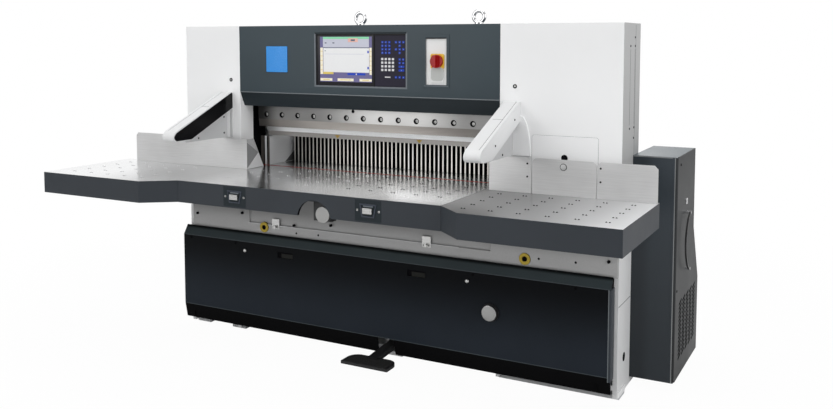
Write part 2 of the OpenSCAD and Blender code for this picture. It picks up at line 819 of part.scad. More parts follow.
slot_half = 32;
lay_t = 6;
rear_side = 56;
rear_x0 = lay_l - rear_side;
rear_x1 = lay_r + rear_side;
bearing_w = 120;
bearing_low = spindle_z - 45;

// Table behind the opening, with its side lays, drive slot and spindle bearings
module rear_table() color(steel) difference() {
  union() {
    block([rear_x0, centre_back, table_h - rear_t], [rear_x1, rear_end, table_h]);
    for (x = [lay_l - lay_t, lay_r])
      block([x, cut_y + stick_w / 2 + 2, table_h], [x + lay_t, rear_end, table_h + rear_lay_h]);
    for (y = [bearing_y0, bearing_y1])
      block([mid_x - bearing_w / 2, y, bearing_low],
            [mid_x + bearing_w / 2, y + bearing_t, table_h - rear_t]);
  }
  block([mid_x - slot_half, bearing_y0 + bearing_t, table_h - rear_t - 1],
        [mid_x + slot_half, bearing_y1, table_h + 1]);
  for (y = [bearing_y0, bearing_y1])
    rod_y([mid_x, y - 1, spindle_z], spindle_r + shaft_gap, bearing_t + 2);
}

leg_s = 80;
leg_back = 380;
leg_in = 180;
foot_rim = 20;
leg_y = rear_end - leg_back;

// Two rear legs with foot plates
module rear_legs() color(cast)
  for (x = [rear_x0 + leg_in, rear_x1 - leg_in - leg_s]) {
    block([x, leg_y, 0], [x + leg_s, leg_y + leg_s, table_h - rear_t]);
    block([x - foot_rim, leg_y - foot_rim, 0], [x + leg_s + foot_rim, leg_y + leg_s + foot_rim, pad_h]);
  }

// Knife and clamp

knife_x0 = lay_l - 3;
knife_x1 = lay_r + swing;
bar_x0 = knife_x0 - 30;
bar_x1 = pull_x + 30;
bolt_x0 = mid_x - 13 - bolt_pitch * (bolt_n - 1) / 2;
bolt_sink = 2;
foot_in = 6;
foot_h = 40;
head_l = 10;
bolt_shank_r = bolt_r * 0.6;
bolt_xs = [for (i = [0 : bolt_n - 1]) bolt_x0 + i * bolt_pitch];

module knife_bar() color(steel) difference() {
  along_x([[bar_y0 + foot_in, bar_z0], [bar_y1, bar_z0], [bar_y1, bar_z0 + bar_h],
           [bar_y0, bar_z0 + bar_h], [bar_y0, bar_z0 + foot_h]], bar_x0, bar_x1);
  for (x = bolt_xs) {
    rod_y([x, bar_y0 - 1, bolt_z], bolt_r + run_gap, bolt_sink + head_l + 1);
    rod_y([x, bar_y0, bolt_z], bolt_shank_r, bar_t + 1);
  }
}

module knife() color(chrome) difference() {
  along_x([[cut_y, edge_z], [cut_y, edge_z + knife_h], [cut_y - knife_t, edge_z + knife_h],
           [cut_y - knife_t, edge_z + bevel_h]], knife_x0, knife_x1);
  for (x = bolt_xs) rod_y([x, bar_y1 - 1, bolt_z], bolt_shank_r, knife_t / 2 + 1);
}

// Screws that hold the knife to its bar
module knife_bolts() color(chrome)
  for (x = bolt_xs) {
    rod_y([x, bar_y0 + bolt_sink, bolt_z], bolt_r, head_l);
    rod_y([x, bar_y0 + bolt_sink, bolt_z], bolt_shank_r, bar_t - bolt_sink + knife_t / 2);
  }

pull_z0 = floor_z + stroke + 180;
eye_len = 70;
eye_half = pull_r + 8;

// Rod from the knife bar down to the crank, with the eye at its lower end
module pull_rod() color(steel) difference() {
  union() {
    rod_z([pull_x, bar_mid_y, pull_z0], pull_r, bar_z0 - pull_z0);
    block([pull_x - eye_half, bar_mid_y - pull_r, pull_z0 - eye_len],
          [pull_x + eye_half, bar_mid_y + pull_r, pull_z0 + 5]);
  }
  rod_y([pull_x, bar_mid_y - pull_r - 1, pull_z0 - eye_len / 2], pull_r, 2 * pull_r + 2);
}

finger_n = floor(cut_w / finger_pitch);
finger_x0 = mid_x - finger_pitch * (finger_n - 1) / 2;
finger_xs = [for (i = [0 : finger_n - 1]) finger_x0 + i * finger_pitch];
comb_gap = 2;
comb_d = 60;
clamp_x0 = lay_l + lay_play;
clamp_x1 = lay_r - lay_play;
comb_xs = concat([clamp_x0], [for (x = finger_xs) for (s = [-1, 1]) x + s * (finger_t / 2 + comb_gap)],
                 [clamp_x1]);

// Clamp beam, with the slots in its sole that the backgauge's fingers run into
module clamp_beam() color(steel) {
  slot_z = sole_z + gauge_h + 5;
  block([clamp_x0, clamp_y0, sole_z], [clamp_x1, clamp_y1 - comb_d, slot_z]);
  block([clamp_x0, clamp_y0, slot_z], [clamp_x1, clamp_y1, clamp_top]);
  for (i = [0 : finger_n])
    block([comb_xs[2 * i], clamp_y1 - comb_d, sole_z], [comb_xs[2 * i + 1], clamp_y1, slot_z]);
}

rod_room = 10;

module clamp_rods() color(chrome)
  for (x = cylinder_xs)
    rod_z([x, cylinder_y, clamp_top], clamp_rod_r, slab_z0 - rod_room - clamp_top);

module clamp_cylinders() color(dark)
  for (x = cylinder_xs) difference() {
    rod_z([x, cylinder_y, clamp_top + 40], cylinder_r, slab_z0 - clamp_top - 40);
    rod_z([x, cylinder_y, clamp_top + 39], clamp_rod_r + shaft_gap, slab_z0 - clamp_top - 38);
  }

// Backgauge and its drive

nut_w = 52;
gauge_z = table_h + run_gap;

// Backgauge: beam, comb of fingers, tail and the nut that rides on the spindle
module backgauge() color(steel) difference() {
  union() {
    block([clamp_x0, gauge_y + finger_l, gauge_z],
          [clamp_x1, gauge_y + finger_l + gauge_d, gauge_z + gauge_h]);
    for (x = finger_xs)
      block([x - finger_t / 2, gauge_y, gauge_z],
            [x + finger_t / 2, gauge_y + finger_l + 1, gauge_z + gauge_h]);
    block([mid_x - 90, gauge_y + finger_l + gauge_d - 1, gauge_z],
          [mid_x + 90, nut_y + nut_l / 2, gauge_z + 30]);
    block([mid_x - nut_w / 2, nut_y - nut_l / 2, spindle_z - spindle_r - 14],
          [mid_x + nut_w / 2, nut_y + nut_l / 2, gauge_z + 1]);
  }
  rod_y([mid_x, nut_y - nut_l, spindle_z], spindle_r + shaft_gap, 2 * nut_l);
}

module feed_spindle() color(chrome)
  rod_y([mid_x, bearing_y0, spindle_z], spindle_r, bearing_y1 + bearing_t - bearing_y0);

feed_motor_r = spindle_drop - rear_t - 2;

module feed_motor() color(dark) {
  y0 = bearing_y1 + bearing_t + run_gap;
  rod_y([mid_x, y0, spindle_z], feed_motor_r - 8, feed_motor_l);
  block([mid_x - feed_motor_r, y0, spindle_z - feed_motor_r],
        [mid_x + feed_motor_r, y0 + 20, table_h - rear_t]);
}

// Main drive in the right leg

leg_mid = (up_r0 + right_out - base_t) / 2 - 20;
gear_w = 300;
gear_y0 = 60;
gear_y1 = 360;
gear_h = 385;
gear_z0 = floor_z;
fly_z = gear_z0 + fly_r + belt_t + 22;
fly_y = gear_y1 + 15;
motor_z = fly_z + belt_c;

shaft_in = 60;
shaft_seat = 50;
fly_hole_c = fly_r * 0.58;
fly_hole_r = fly_r * 0.2;

// Gearbox with the boss of its crank shaft beside the pull rod
module gearbox() color(cast) difference() {
  union() {
    block([leg_mid - gear_w / 2, gear_y0, gear_z0], [leg_mid + gear_w / 2, gear_y1, gear_z0 + gear_h]);
    rod_y([leg_mid, gear_y1 - 1, fly_z], 2.4 * shaft_r, fly_y - gear_y1 - run_gap + 1);
  }
  rod_y([leg_mid, gear_y1 - shaft_in, fly_z], shaft_r + shaft_gap, shaft_in + fly_y - gear_y1 + 1);
}

// Finned motor on the gearbox
module main_motor() color(dark) difference() {
  union() {
    rod_y([leg_mid, fly_y - 8 - motor_l, motor_z], motor_r - 8, motor_l);
    for (i = [0 : 8])
      rod_y([leg_mid, fly_y - 30 - i * motor_l / 10, motor_z], motor_r, 10);
    block([leg_mid - motor_r + 10, fly_y - motor_l, gear_z0 + gear_h],
          [leg_mid + motor_r - 10, fly_y - 60, motor_z - motor_r + 20]);
  }
  rod_y([leg_mid, fly_y - 60, motor_z], shaft_r * 0.7 + shaft_gap, 100);
}

// Grooved pulley with its shaft
module pulley(z, r, shaft, reach) {
  rod_y([leg_mid, fly_y, z], r, fly_w);
  for (y = [fly_y, fly_y + fly_w - 8]) rod_y([leg_mid, y, z], r + belt_t / 2, 8);
  rod_y([leg_mid, fly_y - reach, z], shaft, reach + 1);
}

module motor_pulley() color(steel) pulley(motor_z, pulley_r, shaft_r * 0.7, shaft_seat);

module flywheel() color(cast) difference() {
  pulley(fly_z, fly_r, shaft_r, shaft_seat);
  for (i = [0 : 4])
    rotate_about_fly(i * 72) rod_y([leg_mid + fly_hole_c, fly_y - 1, fly_z], fly_hole_r, fly_w + 2);
}

module rotate_about_fly(a)
  translate([leg_mid, 0, fly_z]) rotate([0, a, 0]) translate([-leg_mid, 0, -fly_z]) children();

belt_steps = 24;
wrap = asin((fly_r - pulley_r) / belt_c);

// Outline of the belt, a distance off both pulleys
function belt_outline(off) = concat(
  [for (i = [0 : belt_steps]) let(a = 180 - wrap + i * (180 + 2 * wrap) / belt_steps)
    [(fly_r + off) * cos(a), (fly_r + off) * sin(a)]],
  [for (i = [0 : belt_steps]) let(a = wrap + i * (180 - 2 * wrap) / belt_steps)
    [(pulley_r + off) * cos(a), belt_c + (pulley_r + off) * sin(a)]]);

facet_room = 1.6;

module drive_belt() color(black)
  translate([leg_mid, fly_y + fly_w - 8 - run_gap, fly_z]) rotate([90, 0, 0])
    linear_extrude(fly_w - 16 - 2 * run_gap) difference() {
      polygon(belt_outline(facet_room + belt_t));
      polygon(belt_outline(facet_room));
    }

// Front cover and pedal

slot_z = cover_bend_up - 62;
slot_xs = [291, right_in - 430];
notch_w = pedal_arm_w + 40;
notch_top = cover_bend_low;
cover_tuck = 15;
lock_x = right_in - 5;
lock_z = cover_bend_low + 206;
tab_l_x = cover_x0 + tab_in;
tab_r_x = cover_x1 - tab_in;

// Bent sheet: top bevel, face and bottom bevel, with hinge tabs and pins at its lower edge
module front_cover() color(dark) difference() {
  union() {
    along_x([[cover_in - cover_y, cover_top], [-cover_y, cover_bend_up], [-cover_y, cover_bend_low],
             [cover_tuck - cover_y, cover_low], [cover_tuck + cover_t - cover_y, cover_low],
             [cover_t - cover_y, cover_bend_low], [cover_t - cover_y, cover_bend_up],
             [cover_in + cover_t - cover_y, cover_top]], cover_x0, cover_x1);
    for (x = [cover_x0, cover_x1 - cover_t])
      along_x([[cover_in - cover_y, cover_top], [-cover_y, cover_bend_up], [-cover_y, cover_bend_low],
               [cover_tuck - cover_y, cover_low], [cover_tuck - cover_y, cover_bend_up],
               [cover_in - cover_y + 1, cover_top - 20]], x, x + cover_t);
    for (x = [tab_l_x, tab_r_x - tab_w])
      block([x, 3 - cover_y + cover_t, cover_axis_z - 7], [x + tab_w, cover_axis_y + 8, cover_bend_low]);
    rod_x([lug_l_x, cover_axis_y, cover_axis_z], hinge_r, tab_l_x - lug_l_x + 1);
    rod_x([tab_r_x - 1, cover_axis_y, cover_axis_z], hinge_r, lug_w + 2);
  }
  for (x = slot_xs)
    block([x, -cover_y - 1, slot_z], [x + slot_w, cover_t + 1 - cover_y, slot_z + slot_h]);
  block([pedal_x - notch_w / 2, -cover_y - 1, cover_low - 1],
        [pedal_x + notch_w / 2, 20 - cover_y, notch_top]);
}

// Chrome lock knob on the cover's face
module cover_knob() color(chrome) {
  rod_y([lock_x, -cover_y - 6, lock_z], lock_r, 6);
  rod_y([lock_x, -cover_y - 22, lock_z], lock_r * 0.55, 17);
}

pad_z = 52;

// Foot pedal: pad with rounded rear corners, arm and pivot pin
module pedal() color(black) {
  y0 = -pedal_reach;
  y1 = pedal_d - pedal_reach;
  round_r = pedal_d * 0.48;
  block([pedal_x - pedal_w / 2, y0, pad_z], [pedal_x + pedal_w / 2, y1 - round_r, pad_z + pedal_t]);
  block([pedal_x - pedal_w / 2 + round_r, y0, pad_z],
        [pedal_x + pedal_w / 2 - round_r, y1, pad_z + pedal_t]);
  for (s = [-1, 1])
    rod_z([pedal_x + s * (pedal_w / 2 - round_r), y1 - round_r, pad_z], round_r, pedal_t);
  along_x([[y1 - 40, pad_z + 2], [y1, pad_z + 2], [pedal_y, pedal_z - 14], [pedal_y + 14, pedal_z - 14],
           [pedal_y + 14, pedal_z + 14], [pedal_y, pedal_z + 14], [y1 - 40, pad_z + pedal_t + 8]],
          pedal_x - pedal_arm_w / 2, pedal_x + pedal_arm_w / 2);
  rod_x([pedal_x - pedal_lug_gap - lug_w, pedal_y, pedal_z], hinge_r, 2 * (pedal_lug_gap + lug_w));
}

// Side cabinet

cab_t = 3;
cab_y_up = cab_y + cab_d_up;
cab_y_low = cab_y + cab_d_low;
door_gap = 0.8;
door_x0 = cab_x1 - door_t;
pin_r = 3;
barrel_r = 8;
pin_x = cab_x1 - barrel_r;
pin_y = cab_y + barrel_r;
pin_l = 60;
barrel_z0 = cab_low + cab_t + door_gap;
barrel_z1 = cab_top - cab_t - door_gap;
gland_x = right_out + cab_w / 2;
gland_z = cab_low + 90;

// Side outline of the cabinet, drawn in by a margin
function cab_outline(m) = [
  [cab_y + m, cab_low + m], [cab_y_low - m, cab_low + m], [cab_y_low - m, cab_slant_low - m / 4],
  [cab_y_up - m, cab_slant_up - m / 4], [cab_y_up - m, cab_top - m], [cab_y + m, cab_top - m]];

// Shell of the cabinet, open towards the door, with room for the door's barrel at its corner
module cabinet() color(dark) difference() {
  along_x(cab_outline(0), right_out, door_x0 - door_gap);
  along_x(cab_outline(cab_t), right_out + cab_t, door_x0 + 1);
  block([pin_x - barrel_r - door_gap, cab_y - 1, cab_low + cab_t],
        [cab_x1, cab_y + cab_t + 1, cab_top - cab_t]);
  rod_y([gland_x, cab_y_low - cab_t - 1, gland_z], gland_r + 5, cab_t + 2);
  for (z = [cab_low - 1, cab_top - cab_t - 1]) rod_z([pin_x, pin_y, z], pin_r, cab_t + 2);
}

vent_rows = 14;
vent_cols = 5;
vent_w = 46;
vent_h = 9;
vent_pitch = 19;
vent_y = cab_y + 92;
vent_z = cab_low + 80;
vent_step = 78;
vent_slant = 14;
door_corner = 2 * (door_x0 - pin_x);

door_outline = [
  [pin_y, cab_low], [cab_y_low, cab_low], [cab_y_low, cab_slant_low], [cab_y_up, cab_slant_up],
  [cab_y_up, cab_top], [pin_y, cab_top]];

// Door with its slanted vent slots and the barrel that turns on the hinge pins
module cabinet_door() color(dark) difference() {
  union() {
    along_x(door_outline, door_x0, cab_x1);
    rod_z([pin_x, pin_y, barrel_z0], barrel_r, barrel_z1 - barrel_z0);
  }
  for (z = [barrel_z0 - 1, barrel_z1 - pin_l])
    rod_z([pin_x, pin_y, z], pin_r + shaft_gap, pin_l + 1);
  for (z = [cab_low - 1, cab_top - cab_t - door_gap])
    block([door_x0 - 1, pin_y - 1, z], [cab_x1 + 1, pin_y + door_corner, z + cab_t + door_gap + 1]);
  for (c = [0 : vent_cols - 1], r = [0 : vent_rows - 1])
    translate([door_x0 - 1, vent_y + c * vent_step, vent_z + r * vent_pitch]) rotate([vent_slant, 0, 0])
      cube([door_t + 2, vent_w, vent_h]);
}

// Hinge pins of the door, held in the cabinet's floor and roof
module door_pins() color(chrome) {
  rod_z([pin_x, pin_y, cab_low], pin_r, barrel_z0 - cab_low + pin_l - 1);
  rod_z([pin_x, pin_y, barrel_z1 - pin_l + 1], pin_r, cab_top - barrel_z1 + pin_l - 1);
}

handle_z0 = 524;
handle_z1 = 781;
handle_y = cab_y + 192;
handle_bulge = 88;
handle_half = (handle_z1 - handle_z0) / 2;
handle_arc = (handle_half * handle_half + handle_bulge * handle_bulge) / (2 * handle_bulge);

// Bow handle: a flat bar bent towards the front, on two posts
module door_handle() color(black) {
  bow_x = cab_x1 + handle_out - 2 * handle_r;
  translate([bow_x, handle_y + handle_arc - handle_bulge, (handle_z0 + handle_z1) / 2])
    rotate([90, 0, 90]) linear_extrude(2 * handle_r) intersection() {
      difference() {
        circle(r = handle_arc + handle_r);
        circle(r = handle_arc - handle_r);
      }
      translate([-2 * handle_arc, -handle_half - handle_r])
        square([handle_arc + handle_bulge, 2 * (handle_half + handle_r)]);
    }
  for (z = [handle_z0, handle_z1]) rod_x([cab_x1, handle_y, z], 1.4 * handle_r, handle_out - handle_r);
}

// Cable gland in the cabinet's back
module cable_gland() color(black) difference() {
  union() {
    rod_y([gland_x, cab_y_low - cab_t - 12, gland_z], gland_r + 5, 12 + cab_t + 22);
    rod_y([gland_x, cab_y_low, gland_z], gland_r + 9, 10);
  }
  rod_y([gland_x, cab_y_low - cab_t - 13, gland_z], gland_r, 60);
}

place() base_walls();
place() base_back();
place() base_decks();
place() base_floor();
place() floor_pads();
place() bed();
place() brass_plugs();
place() bed_latches();
place() left_upright();
place() right_upright();
place() top_beam();
place() left_column_cover();
place() right_column_cover();
place() hood();
place() access_hatch();
place() eyebolts();
place() screen_bezel();
place() screen_glass();
place() keypad_panel();
place() blue_plate();
place() switch_plate();
place() switch_collar();
place() switch_knob();
place() left_arm();
place() right_arm();
place() arm_windows();
place() arm_brackets();
place() left_guide_wall();
place() right_guide_wall();
place() centre_table();
place() left_table();
place() right_table();
place() cutting_stick();
place() button_plates();
place() left_cut_button();
place() right_cut_button();
place() handwheel_bracket();
place() handwheel();
place() rear_table();
place() rear_legs();
place() knife_bar();
place() knife();
place() knife_bolts();
place() pull_rod();
place() clamp_beam();
place() clamp_rods();
place() clamp_cylinders();
place() backgauge();
place() feed_spindle();
place() feed_motor();
place() gearbox();
place() main_motor();
place() motor_pulley();
place() flywheel();
place() drive_belt();
place() front_cover();
place() cover_knob();
place() pedal();
place() cabinet();
place() cabinet_door();
place() door_handle();
place() door_pins();
place() cable_gland();
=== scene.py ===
"""Looks of a large guillotine paper cutter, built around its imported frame."""
import json
import logging
import math
from dataclasses import dataclass
from enum import Enum
from typing import Any, Callable, ClassVar, Iterable, Sequence

import bmesh
import bpy
from mathutils import Matrix, Vector


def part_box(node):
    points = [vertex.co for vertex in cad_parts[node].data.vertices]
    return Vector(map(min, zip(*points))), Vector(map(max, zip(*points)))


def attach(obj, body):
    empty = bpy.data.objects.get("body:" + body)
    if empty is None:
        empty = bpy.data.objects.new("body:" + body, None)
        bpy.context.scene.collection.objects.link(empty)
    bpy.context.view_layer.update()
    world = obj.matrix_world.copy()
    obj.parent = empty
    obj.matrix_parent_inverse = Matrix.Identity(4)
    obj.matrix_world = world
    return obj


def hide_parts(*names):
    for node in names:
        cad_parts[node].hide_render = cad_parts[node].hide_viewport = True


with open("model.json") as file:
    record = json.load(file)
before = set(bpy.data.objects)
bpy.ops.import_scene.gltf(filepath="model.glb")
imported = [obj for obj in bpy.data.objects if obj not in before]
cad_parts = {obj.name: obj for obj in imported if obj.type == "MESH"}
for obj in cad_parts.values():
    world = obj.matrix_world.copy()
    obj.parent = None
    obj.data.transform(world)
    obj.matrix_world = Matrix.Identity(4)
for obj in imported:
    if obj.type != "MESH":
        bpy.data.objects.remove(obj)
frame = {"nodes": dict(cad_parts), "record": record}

LOG = logging.getLogger("paper_cutter")
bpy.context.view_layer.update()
MM = 0.001
Colour = tuple[float, float, float]
Point = tuple[float, float, float]
Pair = tuple[float, float]
SHARP = 28.0


class Axis(Enum):
    """Direction of a bar, a brushing or an outline's depth."""

    X = 0
    Y = 1
    Z = 2


class Texture(Enum):
    """Kind of fine relief on a surface."""

    PEEL = "orange peel of sprayed paint"
    BRUSHED = "fine straight brushing"
    GROUND = "crossed grinding of a machine table"
    CAST = "coarse skin of a casting"
    MOULDED = "fine grain of moulded plastic"


def feed(tree: bpy.types.NodeTree, node: bpy.types.Node, inputs: dict[str | int, Any]) -> None:
    """Sets or links the inputs of a node.

    Args:
        tree: Node tree that the node is in.
        node: The node.
        inputs: What goes into each input, by its name or number: a value, or another node's output.
    """
    for name, value in inputs.items():
        if isinstance(value, bpy.types.NodeSocket):
            tree.links.new(value, node.inputs[name])
        else:
            node.inputs[name].default_value = value


def add_node(tree: bpy.types.NodeTree, kind: str, inputs: dict[str | int, Any] | None = None,
             **settings: str) -> bpy.types.Node:
    """Adds a shader node.

    Args:
        tree: Node tree that it goes into.
        kind: Kind of the node, without the leading ShaderNode.
        inputs: What goes into its inputs.
        settings: Its choices, by their names.

    Returns:
        The node.
    """
    made = tree.nodes.new(f"ShaderNode{kind}")
    for name, value in settings.items():
        setattr(made, name, value)
    feed(tree, made, inputs or {})
    return made


@dataclass(frozen=True)
class Fade:
    """Painted light and shade: a change of a finish's depth along one axis.

    Attributes:
        axis: Direction along which the colour changes.
        start: Place with the plain colour, in machine measures.
        stop: Place with the changed colour.
        factor: What the colour is multiplied by at the second place.
    """

    axis: Axis
    start: float
    stop: float
    factor: float

    def _at(self, along: float) -> float:
        """Place along the axis, in metres of the shared frame."""
        return DATUM.at((along, along, along))[self.axis.value]

    def scaled(self, tree: bpy.types.NodeTree, place: bpy.types.Node,
               colour: bpy.types.NodeSocket) -> bpy.types.NodeSocket:
        """Adds the nodes that change a colour along the axis.

        Args:
            tree: Node tree of the material.
            place: Its Texture Coordinate node.
            colour: Colour to change.

        Returns:
            The changed colour.
        """
        parts = add_node(tree, "SeparateXYZ", {"Vector": place.outputs["Object"]})
        share = add_node(tree, "MapRange",
                         {"From Min": self._at(self.start), "From Max": self._at(self.stop), "To Min": 1.0,
                          "To Max": self.factor, "Value": parts.outputs[self.axis.value]},
                         interpolation_type="SMOOTHSTEP")
        scale = add_node(tree, "VectorMath", {0: colour, "Scale": share.outputs["Result"]}, operation="SCALE")
        return scale.outputs["Vector"]


@dataclass(frozen=True)
class Finish:
    """A surface finish, made once as a node material.

    Attributes:
        name: Name of the material.
        colour: Base colour, linear.
        roughness: Middle of the roughness range.
        metallic: 1 for bare metal and 0 for the rest.
        texture: Kind of fine relief.
        along: Direction of the brushing, where there is one.
        mottle: Share by which the colour varies.
        spread: Range of the roughness about its middle.
        bump: Strength of the relief.
        coat: Weight of a clear coat.
        glow: Strength of a screen's own light.
        specular: Strength of its mirror reflection, 0.5 for plain paint.
        slot: Slot of the record that the finish belongs to; not used.
        fades: Painted light and shade, as changes of its depth along the axes.
        BROAD: Scale of the broad noise, per metre.
        FINE_SHARE: Share of the fine noise in the tint.
        TINTS: Lowest and highest tint that count.
        RELIEF: Height of the relief, in metres.
    """

    BROAD: ClassVar[Point] = (3.1, 3.1, 3.1)
    FINE_SHARE: ClassVar[float] = 0.45
    TINTS: ClassVar[Pair] = (0.3, 0.7)
    RELIEF: ClassVar[float] = 0.0006

    name: str
    colour: Colour
    roughness: float
    slot: str
    metallic: float = 0.0
    texture: Texture = Texture.PEEL
    along: Axis = Axis.X
    mottle: float = 0.06
    spread: float = 0.08
    bump: float = 0.05
    coat: float = 0.0
    glow: float = 0.0
    specular: float = 0.5
    fades: tuple[Fade, ...] = ()

    def fine_scale(self) -> Vector:
        """Scale of the fine relief on Object coordinates, per metre."""
        if self.texture is Texture.BRUSHED:
            scale = Vector((900.0, 900.0, 900.0))
            scale[self.along.value] = 9.0
            return scale
        if self.texture is Texture.GROUND:
            return Vector((160.0, 700.0, 160.0))
        if self.texture is Texture.CAST:
            return Vector((110.0, 110.0, 110.0))
        if self.texture is Texture.MOULDED:
            return Vector((650.0, 650.0, 650.0))
        return Vector((420.0, 420.0, 420.0))

    def material(self) -> bpy.types.Material:
        """Makes the node material, or returns the one made before.

        Returns:
            The material of this finish.
        """
        known = bpy.data.materials.get(self.name)
        if known is not None:
            return known
        made = bpy.data.materials.new(self.name)
        made.use_nodes = True
        tree = made.node_tree
        shader = tree.nodes["Principled BSDF"]
        place = add_node(tree, "TexCoord")
        broad = self._noise(tree, place, Vector(self.BROAD), 3.0)
        fine = self._noise(tree, place, self.fine_scale(), 2.0)
        tint = add_node(tree, "Mix", {"Factor": self.FINE_SHARE, "A": broad, "B": fine}).outputs["Result"]
        ramp = add_node(tree, "ValToRGB", {"Fac": tint})
        for element, at, way in zip(ramp.color_ramp.elements, self.TINTS, (-1.0, 1.0)):
            element.position = at
            element.color = (*(min(1.0, c * (1.0 + way * self.mottle)) for c in self.colour), 1.0)
        colour = ramp.outputs["Color"]
        for fade in self.fades:
            colour = fade.scaled(tree, place, colour)
        rough = add_node(tree, "MapRange",
                         {"From Min": self.TINTS[0], "From Max": self.TINTS[1],
                          "To Min": max(0.03, self.roughness - self.spread),
                          "To Max": min(1.0, self.roughness + self.spread), "Value": tint})
        relief = add_node(tree, "Bump", {"Strength": self.bump, "Distance": self.RELIEF, "Height": fine})
        feed(tree, shader, {"Metallic": self.metallic, "Specular IOR Level": self.specular,
                            "Coat Weight": self.coat, "Coat Roughness": 0.12, "Base Color": colour,
                            "Roughness": rough.outputs["Result"], "Normal": relief.outputs["Normal"]})
        if self.glow > 0.0:
            feed(tree, shader, {"Emission Color": ramp.outputs["Color"], "Emission Strength": self.glow})
        return made

    @staticmethod
    def _noise(tree: bpy.types.NodeTree, place: bpy.types.Node, scale: Vector,
               detail: float) -> bpy.types.NodeSocket:
        """Adds a noise on scaled Object coordinates.

        Args:
            tree: Node tree of the material.
            place: Its Texture Coordinate node.
            scale: Scale along each axis, per metre.
            detail: Octaves of the noise.

        Returns:
            The noise's factor.
        """
        mapping = add_node(tree, "Mapping", {"Scale": scale, "Vector": place.outputs["Object"]})
        noise = add_node(tree, "TexNoise", {"Scale": 1.0, "Detail": detail,
                                            "Vector": mapping.outputs["Vector"]})
        return noise.outputs["Fac"]


def screen_colour(name: str, colour: Colour, mottle: float, glow: float) -> Finish:
    """Finish of one colour on the screen's page.

    Args:
        name: Name of the material.
        colour: Base colour, linear.
        mottle: Share by which the colour varies.
        glow: Strength of its own light.

    Returns:
        The finish.
    """
    return Finish(name, colour, 0.25, "screen", texture=Texture.MOULDED, mottle=mottle, bump=0.0, glow=glow,
                  specular=0.2)


# Column white, painted slightly darker towards the top as painted shade.
WHITE = Finish("column_white_paint", (0.95, 0.955, 0.96), 0.42, "white_paint", mottle=0.02, specular=0.35,
               fades=(Fade(Axis.Z, 1210.0, 1600.0, 0.92),))
# Grey copy of the column white on the columns' outer sides, as painted shade.
COLUMN_SIDE_SHADE = Finish("column_side_painted_shade", (0.445, 0.448, 0.45), 0.42, "white_paint", mottle=0.02,
                     specular=0.3)
# Full white on the rounded folds beside the grey sides, as a painted highlight along the corners.
COLUMN_FOLD_HIGHLIGHT = Finish("column_fold_painted_highlight", (0.95, 0.955, 0.96), 0.38, "white_paint", mottle=0.01,
                     specular=0.4)
# Darker copy of the white paint on the arms, as painted shade.
ARM_SHADED_WHITE = Finish("arm_white_painted_shade", (0.76, 0.765, 0.77), 0.42, "white_paint", mottle=0.02, specular=0.3)
# The white brackets painted light grey, as painted shade under the arms.
BRACKET_SHADE = Finish("bracket_painted_shade", (0.60, 0.605, 0.61), 0.45, "white_paint", mottle=0.03,
                      specular=0.3)
HOOD_GREY = Finish("hood_grey_paint", (0.042, 0.060, 0.071), 0.4, "dark_paint", mottle=0.1, specular=0.3)
# Darker copy of the hood paint: painted shade on the hood's lip and along the top of the panel's rim, and the
# own dark paint of the button plates.
DARK_PAINT_AND_LIP_SHADE = Finish("dark_paint_and_lip_shade", (0.016, 0.023, 0.028), 0.42, "dark_paint", mottle=0.1, specular=0.2)
# Cover paint, lighter towards the bottom and much darker towards the top, as a painted reflection of the
# floor.
COVER_GREY = Finish("cover_grey_paint", (0.022, 0.028, 0.037), 0.42, "dark_paint", mottle=0.12,
                    specular=0.07, fades=(Fade(Axis.Z, 160.0, 500.0, 0.12),))
# Cabinet paint, darker towards the bottom and towards the left of the front, as painted shade.
CABINET_GREY = Finish("cabinet_grey_paint", (0.047, 0.058, 0.069), 0.42, "dark_paint", mottle=0.12,
                      specular=0.3,
                      fades=(Fade(Axis.Z, 1000.0, 250.0, 0.6), Fade(Axis.X, 2125.0, 2070.0, 0.72)))
EDGE_GREY = Finish("table_edge_paint", (0.034, 0.040, 0.048), 0.45, "dark_paint", mottle=0.1, specular=0.25)
CAST_GREY = Finish("cast_grey_paint", (0.42, 0.43, 0.44), 0.5, "grey_cast", texture=Texture.CAST,
                   mottle=0.06, bump=0.2)
DARK_CAST = Finish("dark_casting", (0.12, 0.125, 0.13), 0.55, "grey_cast", texture=Texture.CAST,
                   mottle=0.1, bump=0.3)
# Left table steel, darker towards its inner end as a painted reflection.
TABLE = Finish("ground_table_steel", (0.86, 0.865, 0.87), 0.21, "table_steel", metallic=1.0,
               texture=Texture.GROUND, mottle=0.05, bump=0.03, spread=0.03,
               fades=(Fade(Axis.X, -560.0, -120.0, 0.62),))
# Centre table steel, darker towards both ends, leaving a bright middle, as painted reflection and shade.
CENTRE = Finish("ground_centre_steel", (0.95, 0.955, 0.965), 0.2, "table_steel", metallic=1.0,
                texture=Texture.GROUND, mottle=0.05, bump=0.03, spread=0.03,
                fades=(Fade(Axis.X, 360.0, -40.0, 0.52), Fade(Axis.X, 940.0, 1480.0, 0.34)))
# Right table steel, much darker towards its inner end, as painted reflection and shade.
WING = Finish("ground_wing_steel", (0.97, 0.975, 0.985), 0.28, "table_steel", metallic=0.6,
              texture=Texture.GROUND, mottle=0.01, bump=0.0, spread=0.0,
              fades=(Fade(Axis.X, 2260.0, 1500.0, 0.15), Fade(Axis.X, 2230.0, 1980.0, 0.76)))
STAINLESS = Finish("brushed_stainless", (0.76, 0.76, 0.76), 0.44, "stainless", metallic=0.9,
                   texture=Texture.BRUSHED, mottle=0.14, bump=0.12)
